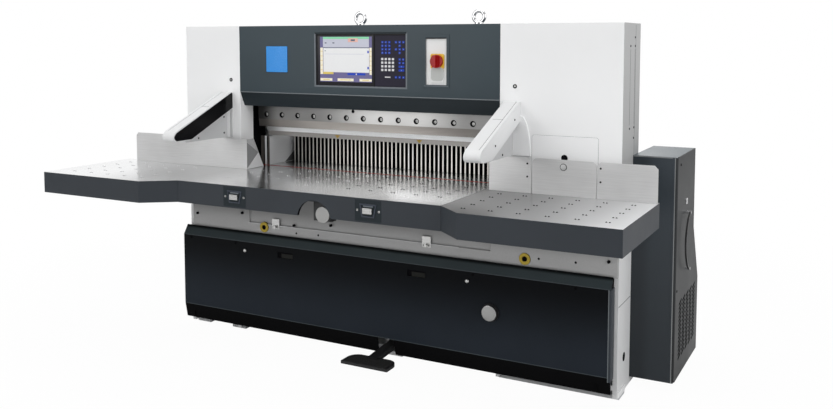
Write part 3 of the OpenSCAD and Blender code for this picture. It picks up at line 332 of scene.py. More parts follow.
# Knife bar steel, darker towards both ends, leaving a bright middle, as painted shade and a painted
# reflection.
BAR_STEEL = Finish("satin_bar_steel", (0.73, 0.725, 0.715), 0.34, "stainless", metallic=1.0,
                   texture=Texture.BRUSHED, mottle=0.1, bump=0.06,
                   fades=(Fade(Axis.X, 780.0, 380.0, 0.34), Fade(Axis.X, 170.0, 55.0, 0.12),
                          Fade(Axis.X, 980.0, 1280.0, 0.42)))
BRIGHT = Finish("bright_turned_steel", (0.74, 0.74, 0.75), 0.16, "bright_steel", metallic=1.0,
                texture=Texture.BRUSHED, mottle=0.05, bump=0.02, spread=0.05)
BRASS = Finish("turned_brass", (0.36, 0.27, 0.05), 0.34, "brass", metallic=1.0, texture=Texture.BRUSHED,
               along=Axis.Z, mottle=0.12)
BLACK = Finish("matt_black_plastic", (0.012, 0.012, 0.014), 0.45, "black_plastic", texture=Texture.MOULDED,
               mottle=0.2, bump=0.1, specular=0.2)
BLACK_METAL = Finish("black_enamel", (0.014, 0.014, 0.015), 0.34, "black_metal", mottle=0.2)
RUBBER = Finish("ribbed_rubber", (0.012, 0.012, 0.012), 0.7, "black_metal", texture=Texture.MOULDED,
                mottle=0.25, bump=0.2)
BELT = Finish("belt_rubber", (0.015, 0.015, 0.015), 0.75, "belt", texture=Texture.MOULDED, mottle=0.2)
KEYPAD = Finish("keypad_film", (0.019, 0.0165, 0.031), 0.45, "keypad", texture=Texture.MOULDED, mottle=0.1,
                specular=0.2)
KEY_WHITE = Finish("white_keys", (0.72, 0.72, 0.74), 0.45, "keypad", texture=Texture.MOULDED, mottle=0.04)
KEY_BLUE = Finish("blue_keys", (0.008, 0.045, 0.42), 0.42, "keypad", texture=Texture.MOULDED, mottle=0.08,
                  specular=0.25)
BLUE = Finish("blue_gloss_plate", (0.02, 0.27, 0.75), 0.25, "blue_plate", texture=Texture.MOULDED,
              mottle=0.06, coat=0.4)
PALE = Finish("pale_grey_plastic", (0.80, 0.805, 0.80), 0.42, "pale_grey", texture=Texture.MOULDED,
              mottle=0.03)
YELLOW = Finish("yellow_plastic", (0.82, 0.5, 0.03), 0.35, "yellow", texture=Texture.MOULDED, mottle=0.06)
RED = Finish("red_plastic", (0.36, 0.004, 0.005), 0.32, "red", texture=Texture.MOULDED, mottle=0.08,
             specular=0.4)
STICK = Finish("red_stick", (0.30, 0.02, 0.016), 0.7, "stick", texture=Texture.MOULDED, mottle=0.15,
               specular=0.05)
SCREEN_DARK = Finish("screen_surround", (0.012, 0.011, 0.015), 0.16, "screen", texture=Texture.MOULDED,
                     mottle=0.05, bump=0.0, specular=0.25)
SCREEN_PANE = screen_colour("screen_desk", (0.13, 0.12, 0.25), 0.03, 0.25)
SCREEN_WHITE = screen_colour("screen_sheet", (0.70, 0.705, 0.71), 0.02, 0.22)
SCREEN_GOLD = screen_colour("screen_title", (0.62, 0.48, 0.12), 0.04, 0.2)
SCREEN_BLUE = screen_colour("screen_buttons", (0.012, 0.05, 0.42), 0.04, 0.25)
SEAM = Finish("seam_shadow", (0.13, 0.135, 0.14), 0.7, "white_paint", mottle=0.15)
# Near-black: the own colour of black screws and dots, and painted shade in holes, bores, gaps, pockets and
# vents and on the uprights.
SHADE_AND_BLACK = Finish("black_parts_and_painted_shade", (0.005, 0.005, 0.006), 0.9, "black_plastic", texture=Texture.MOULDED, mottle=0.2,
              specular=0.02)
# Lighter copy of the dark paint as painted light on lit edges: the panel rim's bars, the switch plate's lower
# line and a band in each button mouth.
RIM_LIT = Finish("rim_painted_light", (0.13, 0.15, 0.17), 0.35, "dark_paint", mottle=0.08)
SCREW = Finish("zinc_screw", (0.62, 0.62, 0.61), 0.3, "bright_steel", metallic=1.0, texture=Texture.BRUSHED,
               mottle=0.08, bump=0.03)
WINDOW = Finish("smoked_window", (0.005, 0.005, 0.006), 0.22, "black_plastic", texture=Texture.MOULDED,
                mottle=0.1, bump=0.0, specular=0.2)
# Door paint, darker towards the bottom as painted shade.
DOOR_GREY = Finish("door_grey_paint", (0.027, 0.0295, 0.031), 0.42, "dark_paint", mottle=0.1,
                   specular=0.25, fades=(Fade(Axis.Z, 800.0, 150.0, 0.62),))
FEED_WHITE = Finish("comb_steel", (0.60, 0.58, 0.55), 0.42, "stainless", metallic=1.0,
                    texture=Texture.BRUSHED, along=Axis.Z, mottle=0.1)
JET = Finish("jet_ball", (0.85, 0.85, 0.86), 0.3, "bright_steel", metallic=0.4, texture=Texture.BRUSHED,
             mottle=0.06)
SCREEN_SHADE = screen_colour("screen_panel", (0.48, 0.49, 0.57), 0.03, 0.2)
SCREEN_TEXT = Finish("screen_marks", (0.06, 0.08, 0.12), 0.18, "screen", texture=Texture.MOULDED,
                     mottle=0.05, bump=0.0, glow=0.2)
TAB_GREY = Finish("grey_tab_plastic", (0.50, 0.515, 0.50), 0.42, "pale_grey", texture=Texture.MOULDED,
                  mottle=0.05)
# Darker copy of the bar steel on the foot that leans back, as painted shade, darker again towards both ends.
BAR_SHADE = Finish("shaded_bar_steel", (0.40, 0.375, 0.35), 0.42, "stainless", metallic=1.0,
                   texture=Texture.BRUSHED, mottle=0.1,
                   fades=(Fade(Axis.X, 420.0, 180.0, 0.66), Fade(Axis.X, 180.0, 60.0, 0.25),
                          Fade(Axis.X, 820.0, 1300.0, 0.5)))
# Near-white, barely metallic knife steel as a painted reflection of its bright edge, darker towards the left
# end as painted shade.
KNIFE = Finish("ground_knife_steel", (0.95, 0.97, 0.99), 0.3, "bright_steel", metallic=0.15,
               texture=Texture.BRUSHED, mottle=0.04, bump=0.02, fades=(Fade(Axis.X, 200.0, 64.0, 0.35),))
CLAMP_STEEL = Finish("clamp_steel", (0.30, 0.288, 0.275), 0.42, "stainless", metallic=1.0,
                     texture=Texture.BRUSHED, mottle=0.08)
# Pale grey of the pads, also used as a painted highlight along the bed's step.
PAD_GREY = Finish("pad_paint_and_step_highlight", (0.62, 0.63, 0.64), 0.5, "grey_cast", texture=Texture.CAST, mottle=0.06)
# Lighter copy of the cover paint on the upward-facing top bend as painted light, darker along its top edge as
# painted shade.
COVER_TOP_LIT = Finish("cover_top_bend_painted_light", (0.048, 0.062, 0.067), 0.42, "dark_paint", mottle=0.12,
                   specular=0.12, fades=(Fade(Axis.Z, 538.0, 550.0, 0.1),))
# Near-black copy of the cover paint on the downward-facing foot bend, as painted shade.
COVER_FOOT_SHADE = Finish("cover_foot_painted_shade", (0.0045, 0.0045, 0.005), 0.7, "dark_paint", mottle=0.15,
                    specular=0.04)
# Grey line round the hatch, as a painted shadow standing for its gap.
HATCH_SHADOW = Finish("hatch_gap_painted_shadow", (0.36, 0.365, 0.37), 0.6, "white_paint", mottle=0.1)
# Light line along bends, as a painted highlight.
BEND_HIGHLIGHT = Finish("bend_painted_highlight", (0.16, 0.18, 0.195), 0.35, "dark_paint", mottle=0.12)
KEY_MARK = Finish("key_marks", (0.24, 0.36, 0.66), 0.5, "keypad", texture=Texture.MOULDED, mottle=0.08)
SCREEN_GREEN = screen_colour("screen_strip", (0.22, 0.62, 0.36), 0.04, 0.2)
SCREEN_ROSE = screen_colour("screen_field", (0.70, 0.40, 0.34), 0.04, 0.2)
SCREEN_CREAM = screen_colour("screen_tabs", (0.80, 0.74, 0.58), 0.03, 0.22)
# Shaded, plain and lit copies of one steel for the faces of the guide's folded return, as painted shade and
# light.
FOLD_DARK = Finish("shaded_fold", (0.33, 0.335, 0.34), 0.4, "stainless", metallic=0.3,
                   texture=Texture.BRUSHED, mottle=0.1)
FOLD_MID = Finish("plain_fold", (0.56, 0.565, 0.57), 0.4, "stainless", metallic=0.3,
                  texture=Texture.BRUSHED, mottle=0.1)
FOLD_LIGHT = Finish("lit_fold", (0.90, 0.91, 0.92), 0.35, "stainless", metallic=0.3,
                    texture=Texture.BRUSHED, mottle=0.08)
# Dark copy of the steel on some of the strips before the left lay, as painted shade.
STRIP_SHADE = Finish("shaded_strip", (0.10, 0.09, 0.082), 0.4, "stainless", metallic=0.3,
                     texture=Texture.BRUSHED, along=Axis.Z, mottle=0.12)
MOUTH_BLUE = Finish("mouth_edge", (0.03, 0.04, 0.06), 0.35, "black_plastic", texture=Texture.MOULDED,
                    mottle=0.1)
WHEEL = Finish("knurled_wheel", (0.40, 0.40, 0.395), 0.32, "bright_steel", metallic=1.0,
               texture=Texture.BRUSHED, along=Axis.Y, mottle=0.12, bump=0.08)
LAY_SHADE = Finish("shaded_lay", (0.085, 0.085, 0.085), 0.4, "stainless", metallic=0.3,
                   texture=Texture.BRUSHED, along=Axis.Z, mottle=0.2)
# Lighter, less metallic steel on the rear lays as painted light, also on the tables' bevelled edges as a
# painted highlight line.
LAY = Finish("lit_lay_and_edge_highlight", (0.74, 0.75, 0.76), 0.4, "stainless", metallic=0.35, texture=Texture.BRUSHED,
             along=Axis.Y, mottle=0.08)
MARK_GOLD = Finish("gold_mark", (0.33, 0.21, 0.02), 0.5, "yellow", texture=Texture.MOULDED, mottle=0.1)
# Darker copy of the white paint on the base, as painted shade.
BASE_SHADED_WHITE = Finish("base_white_painted_shade", (0.80, 0.805, 0.81), 0.42, "white_paint", mottle=0.02, specular=0.3)
# Bed paint, darker towards the top under the table as painted shade.
BED_GREY = Finish("bed_grey_paint", (0.44, 0.44, 0.44), 0.5, "grey_cast", texture=Texture.CAST,
                  mottle=0.06, bump=0.15, fades=(Fade(Axis.Z, 600.0, 690.0, 0.55),))
COVER_END = Finish("cover_end_paint", (0.034, 0.042, 0.051), 0.38, "dark_paint", mottle=0.1, specular=0.3)
# Thin lines lighter than the cover along its bends, as painted highlights.
COVER_BEND_HIGHLIGHT = Finish("cover_bend_highlight_paint", (0.05, 0.062, 0.07), 0.4, "dark_paint", mottle=0.12, specular=0.25)
# Near-black lip inside the cover's finger pockets, as painted shade.
POCKET_SHADE = Finish("pocket_painted_shade", (0.012, 0.0125, 0.011), 0.6, "dark_paint", mottle=0.15, specular=0.15)
# Lighter copy of the cabinet paint on its upward faces, as painted light.
CABINET_TOP_LIT = Finish("cabinet_top_painted_light", (0.06, 0.085, 0.1), 0.4, "dark_paint", mottle=0.1, specular=0.3)
# Light lines along the cabinet's front edges, as painted highlights.
EDGE_HIGHLIGHT = Finish("edge_painted_highlight", (0.24, 0.25, 0.255), 0.35, "dark_paint", mottle=0.12)


class Datum:
    """Turns the machine's own measures into places in the shared frame.

    The measures are millimetres: X from the left column's inner face, Y from
    the fronts of the columns and Z from the floor.
    """

    def __init__(self) -> None:
        """Finds the zero point from the left column's cover."""
        low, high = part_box("left_column_cover")
        self.zero = Vector((high.x, low.y, 0.0))

    def at(self, place: Sequence[float]) -> Vector:
        """Point of the shared frame, in metres, at a place on the machine."""
        return self.zero + Vector(place) * MM

    def box(self, node: str) -> tuple[Vector, Vector]:
        """Lowest and highest corner of a node, in the machine's measures."""
        low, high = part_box(node)
        return (low - self.zero) / MM, (high - self.zero) / MM


DATUM = Datum()


def rounded(low: Sequence[float], high: Sequence[float], radius: float, steps: int = 5) -> list[Pair]:
    """Outline of a rectangle with rounded corners.

    Args:
        low: Lowest corner, on two axes.
        high: Highest corner.
        radius: Radius of the corners.
        steps: Steps of each corner.

    Returns:
        The outline's points in order.
    """
    points = []
    for turn, (x, y) in enumerate(((high[0] - radius, high[1] - radius), (low[0] + radius, high[1] - radius),
                                   (low[0] + radius, low[1] + radius), (high[0] - radius, low[1] + radius))):
        for step in range(steps + 1):
            angle = math.radians(90.0 * (turn + step / steps))
            points.append((x + radius * math.cos(angle), y + radius * math.sin(angle)))
    return points


def turn_to(axis: Axis) -> Matrix:
    """Rotation that lays the Z axis along another axis."""
    if axis is Axis.X:
        return Matrix.Rotation(math.radians(90.0), 4, "Y")
    if axis is Axis.Y:
        return Matrix.Rotation(math.radians(-90.0), 4, "X")
    return Matrix.Identity(4)


class Shape:
    """A mesh in the making, given in the machine's millimetres."""

    def __init__(self) -> None:
        """Starts an empty mesh."""
        self.bm = bmesh.new()

    def _ease(self, verts: Iterable[bmesh.types.BMVert], width: float, segments: int,
              finish: int, limit: float = 30.0) -> None:
        """Rounds the sharp edges among some vertices and sets their faces' finish.

        Args:
            verts: Vertices of the form that was just added.
            width: Width of the rounding, or 0 for none.
            segments: Steps of the rounding.
            finish: Index of the finish on the faces.
            limit: Angle in degrees past which an edge is sharp.
        """
        mine = set(verts)
        faces = {f for v in mine for f in v.link_faces}
        for face in faces:
            face.material_index = finish
        if width <= 0.0:
            return
        bevel(self.bm, [e for e in {e for f in faces for e in f.edges} if sharp(e, limit)], width, segments)

    def block(self, low: Sequence[float], high: Sequence[float], ease: float = 0.0, segments: int = 2,
              finish: int = 0) -> "Shape":
        """Adds a block between two corners.

        Args:
            low: Lowest corner.
            high: Highest corner.
            ease: Width of its rounded edges.
            segments: Steps of the rounding.
            finish: Index of its finish.

        Returns:
            This shape.
        """
        first, last = DATUM.at(low), DATUM.at(high)
        size = last - first
        place = Matrix.Translation((first + last) / 2.0) @ Matrix.Diagonal((*size, 1.0))
        made = bmesh.ops.create_cube(self.bm, size=1.0, matrix=place)
        self._ease(made["verts"], ease, segments, finish)
        return self

    def rod(self, start: Sequence[float], axis: Axis, length: float, radius: float,
            top: float | None = None, ease: float = 0.0, sides: int = 32, segments: int = 2,
            finish: int = 0) -> "Shape":
        """Adds a round bar or cone along an axis.

        Args:
            start: Middle of its first end.
            axis: Direction that it runs in.
            length: Its length, towards plus.
            radius: Radius at the first end.
            top: Radius at the other end, or the same.
            ease: Width of its rounded edges.
            sides: Sides of the round.
            segments: Steps of the rounding.
            finish: Index of its finish.

        Returns:
            This shape.
        """
        middle = Vector(start)
        middle[axis.value] += length / 2.0
        place = Matrix.Translation(DATUM.at(middle)) @ turn_to(axis)
        end = radius if top is None else top
        made = bmesh.ops.create_cone(self.bm, cap_ends=True, segments=sides, radius1=radius * MM,
                                     radius2=end * MM, depth=length * MM, matrix=place)
        self._ease(made["verts"], ease, segments, finish, 50.0)
        return self

    def sheet(self, outline: Sequence[tuple[float, float]], axis: Axis, start: float, stop: float,
              ease: float = 0.0, segments: int = 2, finish: int = 0) -> "Shape":
        """Adds an outline drawn out along an axis.

        Args:
            outline: Points of the outline on the two other axes, in order X, Y, Z.
            axis: Direction that it is drawn out in.
            start: Where it starts along the axis.
            stop: Where it stops.
            ease: Width of its rounded edges.
            segments: Steps of the rounding.
            finish: Index of its finish.

        Returns:
            This shape.
        """
        verts = []
        for pair in outline:
            place = list(pair)
            place.insert(axis.value, start)
            verts.append(self.bm.verts.new(DATUM.at(place)))
        face = self.bm.faces.new(verts)
        grown = bmesh.ops.extrude_face_region(self.bm, geom=[face])["geom"]
        moved = [g for g in grown if isinstance(g, bmesh.types.BMVert)]
        way = Vector((0.0, 0.0, 0.0))
        way[axis.value] = (stop - start) * MM
        bmesh.ops.translate(self.bm, vec=way, verts=moved)
        every = verts + moved
        faces = list({f for v in every for f in v.link_faces})
        bmesh.ops.recalc_face_normals(self.bm, faces=faces)
        self._ease(every, ease, segments, finish)
        return self

    def turned(self, profile: Sequence[tuple[float, float]], start: Sequence[float], axis: Axis,
               sides: int = 40, finish: int = 0) -> "Shape":
        """Adds a form turned on a lathe.

        Args:
            profile: Radius and distance along the axis of each point, from end to end.
            start: Zero point of the distances.
            axis: Direction of the lathe's axis.
            sides: Steps of the full turn.
            finish: Index of its finish.

        Returns:
            This shape.
        """
        centre = DATUM.at(start)
        turn = turn_to(axis).to_3x3()
        verts = [self.bm.verts.new(centre + turn @ Vector((radius * MM, 0.0, along * MM)))
                 for radius, along in profile]
        edges = [self.bm.edges.new(pair) for pair in zip(verts, verts[1:])]
        spun = bmesh.ops.spin(self.bm, geom=verts + edges, cent=centre, axis=turn @ Vector((0.0, 0.0, 1.0)),
                              angle=math.tau, steps=sides, use_merge=True, use_duplicate=False)
        every = {v for v in verts if v.is_valid} | {g for g in spun["geom_last"]
                                                    if isinstance(g, bmesh.types.BMVert) and g.is_valid}
        faces = self._reach(every)
        bmesh.ops.remove_doubles(self.bm, verts=list({v for f in faces for v in f.verts}), dist=1e-6)
        faces = [f for f in faces if f.is_valid]
        bmesh.ops.recalc_face_normals(self.bm, faces=faces)
        for face in faces:
            face.material_index = finish
        return self

    def screw(self, place: Sequence[float], axis: Axis, way: int, radius: float, height: float = 2.0,
              finish: int = 0, socket: int | None = None, sides: int = 20) -> "Shape":
        """Adds the head of a screw, with a sunk middle.

        Args:
            place: Middle of the head on the surface.
            axis: Direction of the screw.
            way: +1 or -1, the way that the head faces.
            radius: Radius of the head.
            height: How far it stands out.
            finish: Index of its finish.
            socket: Index of the finish in its middle, or the same.
            sides: Sides of the round.

        Returns:
            This shape.
        """
        ease, hole = min(0.25 * radius, 0.4 * height), 0.5 * radius
        self.turned([(0.0, -way), (radius, -way), (radius, way * (height - ease)),
                     (radius - ease, way * height), (hole, way * height), (hole, way * height * 0.35),
                     (0.0, way * height * 0.35)], place, axis, sides, finish)
        if socket is not None:
            start = list(place)
            start[axis.value] += way * height * 0.3 if way > 0 else -height * 0.45
            self.rod(start, axis, height * 0.15, hole * 0.98, sides=sides, finish=socket)
        return self

    def rim(self, low: Sequence[float], high: Sequence[float], wide: float, front: float, back: float,
            ease: float = 0.0, finish: int = 0) -> "Shape":
        """Adds a mitred frame that faces the front.

        Args:
            low: Lowest outer corner, in X and Z.
            high: Highest outer corner.
            wide: Width of the frame.
            front: Its front, in Y.
            back: Its back, in Y.
            ease: Width of its rounded edges.
            finish: Index of its finish.

        Returns:
            This shape.
        """
        outer = [(low[0], low[1]), (high[0], low[1]), (high[0], high[1]), (low[0], high[1])]
        return self.mitred(outer, wide, front, back, ease, finish)

    def mitred(self, outer: Sequence[Pair], wide: float, front: float, back: float, ease: float = 0.0,
               finish: int = 0) -> "Shape":
        """Adds a mitred frame with four given outer corners that faces the front.

        Args:
            outer: Outer corners in order, in X and Z.
            wide: Width of the frame.
            front: Its front, in Y.
            back: Its back, in Y.
            ease: Width of its rounded edges.
            finish: Index of its finish.

        Returns:
            This shape.
        """
        x, z = (sum(corner[axis] for corner in outer) / 4.0 for axis in (0, 1))
        inner = [(px + (wide if px < x else -wide), pz + (wide if pz < z else -wide)) for px, pz in outer]
        for i in range(4):
            j = (i + 1) % 4
            self.sheet([outer[i], outer[j], inner[j], inner[i]], Axis.Y, front, back, ease, 1, finish)
        return self

    @staticmethod
    def _reach(verts: Iterable[bmesh.types.BMVert]) -> list[bmesh.types.BMFace]:
        """Faces that can be reached from some vertices through shared corners."""
        found: set[bmesh.types.BMFace] = set()
        todo = [f for v in verts for f in v.link_faces]
        while todo:
            face = todo.pop()
            if face not in found:
                found.add(face)
                todo.extend(f for v in face.verts for f in v.link_faces)
        return list(found)

    @staticmethod
    def _shade(mesh: bpy.types.Mesh, flat: float) -> None:
        """Gives each corner the mean of the faces that meet there, weighted by their areas.

        Args:
            mesh: Mesh to shade.
            flat: Angle in degrees past which two faces don't blend.
        """
        mesh.shade_smooth()
        least = math.cos(math.radians(flat))
        around: list[list[tuple[Vector, Vector]]] = [[] for _ in mesh.vertices]
        for face in mesh.polygons:
            share = (face.normal.copy(), face.normal * face.area)
            for vertex in face.vertices:
                around[vertex].append(share)
        normals = []
        for face in mesh.polygons:
            for vertex in face.vertices:
                near = [share for normal, share in around[vertex] if normal.dot(face.normal) > least]
                normals.append(sum(near, Vector((0.0, 0.0, 0.0))).normalized())
        mesh.normals_split_custom_set(normals)

    def piece(self, name: str, body: str, finishes: Sequence[Finish], stands_for: Sequence[str] = (),
              flat: float = 35.0) -> bpy.types.Object:
        """Turns the shape into a piece that rides on a body.

        Args:
            name: Name of the piece.
            body: Body that it moves with.
            finishes: Its finishes, in the order of their indices.
            stands_for: Nodes that it replaces.
            flat: Angle in degrees past which an edge stays sharp.

        Returns:
            The piece.
        """
        mesh = bpy.data.meshes.new(name)
        self.bm.to_mesh(mesh)
        self.bm.free()
        self._shade(mesh, flat)
        for finish in finishes:
            mesh.materials.append(finish.material())
        made = bpy.data.objects.new(name, mesh)
        bpy.context.scene.collection.objects.link(made)
        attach(made, body)
        if stands_for:
            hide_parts(*stands_for)
        LOG.info("%s rides on %s with %d faces", name, body, len(mesh.polygons))
        return made


def body_of(node: str) -> str:
    """Name of the body that a node belongs to."""
    return next(name for name, held in frame["record"]["behaviour"]["bodies"].items() if node in held)


def sharp(edge: bmesh.types.BMEdge, limit: float) -> bool:
    """Tells whether two faces meet at an edge at more than an angle, in degrees."""
    return len(edge.link_faces) == 2 and math.degrees(edge.calc_face_angle(0.0)) > limit


def bevel(bm: bmesh.types.BMesh, edges: Sequence[bmesh.types.BMEdge], width: float, segments: int) -> None:
    """Rounds some edges.

    Args:
        bm: Mesh that they belong to.
        edges: The edges.
        width: Width of the rounding, in millimetres.
        segments: Steps of the rounding.
    """
    bmesh.ops.bevel(bm, geom=edges, offset=width * MM, offset_type="OFFSET", segments=segments, profile=0.5,
                    affect="EDGES", clamp_overlap=True, material=-1)


@dataclass(frozen=True)
class Corner:
    """Edges of a node that get a wide rounding of their own.

    Attributes:
        axis: Direction that the edges run in.
        radius: Radius of the rounding, in millimetres.
        test: Tells from an edge's middle, in machine measures, whether it is meant.
        segments: Steps of the rounding.
    """

    axis: Axis
    radius: float
    test: Callable[[Vector], bool] = lambda middle: True
    segments: int = 5

    def edges(self, bm: bmesh.types.BMesh) -> list[bmesh.types.BMEdge]:
        """Finds the sharp edges that are meant."""
        found = []
        for edge in bm.edges:
            way = edge.verts[1].co - edge.verts[0].co
            middle = (edge.verts[0].co + edge.verts[1].co) / 2.0
            if (sharp(edge, SHARP) and abs(way[self.axis.value]) > 0.8 * way.length
                    and self.test((middle - DATUM.zero) / MM)):
                found.append(edge)
        return found


def soften(node: str, finishes: Sequence[Finish], width: float, segments: int = 2,
           pick: Callable[[bmesh.types.BMFace], int] | None = None,
           corners: Sequence[Corner] = ()) -> bpy.types.Object:
    """Replaces a node by a copy of itself with rounded edges.

    Args:
        node: Name of the node.
        finishes: Finishes of the copy.
        width: Width of the rounding, in millimetres.
        segments: Steps of the rounding.
        pick: Gives the index of a face's finish, where there is more than one.
        corners: Edges that are rounded more widely, before the rest.

    Returns:
        The piece that stands for the node.
    """
    shape = Shape()
    shape.bm.from_mesh(frame["nodes"][node].data)
    bm = shape.bm
    bmesh.ops.remove_doubles(bm, verts=bm.verts, dist=2e-6)
    bmesh.ops.dissolve_limit(bm, angle_limit=math.radians(1.0), verts=bm.verts, edges=bm.edges)
    for face in bm.faces:
        face.material_index = pick(face) if pick else 0
    for corner in corners:
        bevel(bm, corner.edges(bm), corner.radius, corner.segments)
    bevel(bm, [e for e in bm.edges if sharp(e, SHARP)], width, segments)
    return shape.piece(f"{node}_finished", body_of(node), finishes, [node])


@dataclass
class Stage:
    """Pale floor, soft light and the camera at the photograph's angle.

    Attributes:
        frame_px: Width and height of the picture.
        eye: Place of the camera, in machine measures.
        yaw: Turn of the camera about the vertical, in degrees.
        pitch: Tilt of the camera below the level, in degrees.
        focal_px: Focal length, in pixels of the picture.
        shift: Upright shift of the lens.
        floor_size: Side of the floor, in metres.
        shadow_reach: Distances between which the floor turns white to the camera.
        floor_lift: Share of white that the camera sees close to the object.
        world_level: Strength of the world's light on the object.
        mirror_level: Strength of the world in reflections of what lies in front.
        mirror_reach: Directions along Y between which reflections turn from that to white.
    """

    frame_px: tuple[int, int] = (833, 409)
    eye: Point = (2980.8, -3662.1, 1547.0)
    yaw: float = 27.80
    pitch: float = 4.36
    focal_px: float = 880.2
    shift: float = -0.115
    floor_size: float = 60.0
    shadow_reach: Pair = (1.9, 3.6)
    floor_lift: float = 0.97
    world_level: float = 0.45
    mirror_level: float = 0.38
    mirror_reach: Pair = (-0.3, 0.4)

    def build(self) -> None:
        """Makes the camera, the floor, the lamps and the world."""
        self._camera()
        self._floor()
        self._lamps()
        self._world()

    def _camera(self) -> None:
        """Sets up the camera."""
        lens = bpy.data.cameras.new("photo_camera")
        lens.sensor_width = 36.0
        lens.lens = self.focal_px * lens.sensor_width / self.frame_px[0]
        lens.shift_y = self.shift
        lens.clip_end = 200.0
        camera = bpy.data.objects.new("photo_camera", lens)
        camera.location = DATUM.at(self.eye)
        camera.rotation_euler = (math.radians(90.0 - self.pitch), 0.0, math.radians(self.yaw))
        bpy.context.scene.collection.objects.link(camera)
        bpy.context.scene.camera = camera

    def _floor(self) -> None:
        """Makes the floor: pale where the shadow lies, white to the camera farther out."""
        bm = bmesh.new()
        bmesh.ops.create_grid(bm, x_segments=1, y_segments=1, size=self.floor_size / 2.0)
        mesh = bpy.data.meshes.new("studio_floor")
        bm.to_mesh(mesh)
        bm.free()
        floor = bpy.data.objects.new("studio_floor", mesh)
        bpy.context.scene.collection.objects.link(floor)
        paint = bpy.data.materials.new("studio_floor")
        paint.use_nodes = True
        tree = paint.node_tree
        shader = tree.nodes["Principled BSDF"]
        feed(tree, shader, {"Base Color": (0.9, 0.9, 0.9, 1.0), "Roughness": 0.9, "Specular IOR Level": 0.1})
        white = add_node(tree, "Emission", {"Color": (1.0, 1.0, 1.0, 1.0)})
        place = add_node(tree, "TexCoord")
        reach = add_node(tree, "VectorMath", {0: place.outputs["Object"]}, operation="LENGTH")
        far = add_node(tree, "MapRange",
                       {"From Min": self.shadow_reach[0], "From Max": self.shadow_reach[1],
                        "To Min": self.floor_lift, "Value": reach.outputs["Value"]},
                       interpolation_type="SMOOTHSTEP")
        path = add_node(tree, "LightPath")
        seen = add_node(tree, "Math", {0: far.outputs["Result"], 1: path.outputs["Is Camera Ray"]},
                        operation="MULTIPLY")
        both = add_node(tree, "MixShader", {"Fac": seen.outputs["Value"], 1: shader.outputs["BSDF"],
                                            2: white.outputs["Emission"]})
        feed(tree, tree.nodes["Material Output"], {"Surface": both.outputs["Shader"]})
        mesh.materials.append(paint)

    def _lamps(self) -> None:
        """Hangs the soft lamps: a broad one above, one at each side and one behind."""
        self._lamp("top_softbox", (0.3, -1.2, 5.2), (0.2, 0.2, 0.7), 5.0, 118.0)
        self._lamp("left_softbox", (-2.6, -5.8, 2.6), (0.0, 0.0, 0.9), 2.6, 62.0)
        self._lamp("right_softbox", (5.6, -2.6, 2.4), (0.8, 0.0, 0.9), 3.2, 82.0)
        self._lamp("back_softbox", (-1.5, 5.5, 3.8), (0.0, 0.6, 0.9), 3.6, 62.0)

    @staticmethod
    def _lamp(name: str, place: Point, target: Point, size: float, power: float) -> None:
        """Hangs one soft lamp.

        Args:
            name: Name of the lamp.
            place: Where it hangs, in metres.
            target: Point that it faces.
            size: Side of its face, in metres.
            power: Power in watts.
        """
        light = bpy.data.lights.new(name, "AREA")
        light.shape = "SQUARE"
        light.size = size
        light.energy = power
        lamp = bpy.data.objects.new(name, light)
        lamp.location = place
        way = Vector(target) - Vector(place)
        lamp.rotation_euler = way.to_track_quat("-Z", "Y").to_euler()
        bpy.context.scene.collection.objects.link(lamp)

    def _world(self) -> None:
        """Makes a world that lights softly, shows white behind the object and mirrors darker in front."""
        world = bpy.data.worlds.new("studio")
        bpy.context.scene.world = world
        world.use_nodes = True
        tree = world.node_tree
        path = add_node(tree, "LightPath")
        seen = add_node(tree, "Math", {0: path.outputs["Is Camera Ray"],
                                       1: path.outputs["Is Transmission Ray"]}, operation="MAXIMUM")
        level = add_node(tree, "MapRange", {"To Min": self.world_level, "To Max": 1.0,
                                            "Value": seen.outputs["Value"]})
        place = add_node(tree, "TexCoord")
        parts = add_node(tree, "SeparateXYZ", {"Vector": place.outputs["Generated"]})
        mirrored = add_node(tree, "MapRange",
                            {"From Min": self.mirror_reach[0], "From Max": self.mirror_reach[1],
                             "To Min": self.mirror_level, "To Max": 1.0, "Value": parts.outputs["Y"]},
                            interpolation_type="SMOOTHSTEP")
        strength = add_node(tree, "Mix", {"Factor": path.outputs["Is Glossy Ray"],
                                          "A": level.outputs["Result"], "B": mirrored.outputs["Result"]})
        feed(tree, tree.nodes["Background"], {"Color": (1.0, 1.0, 1.0, 1.0),
                                              "Strength": strength.outputs["Result"]})


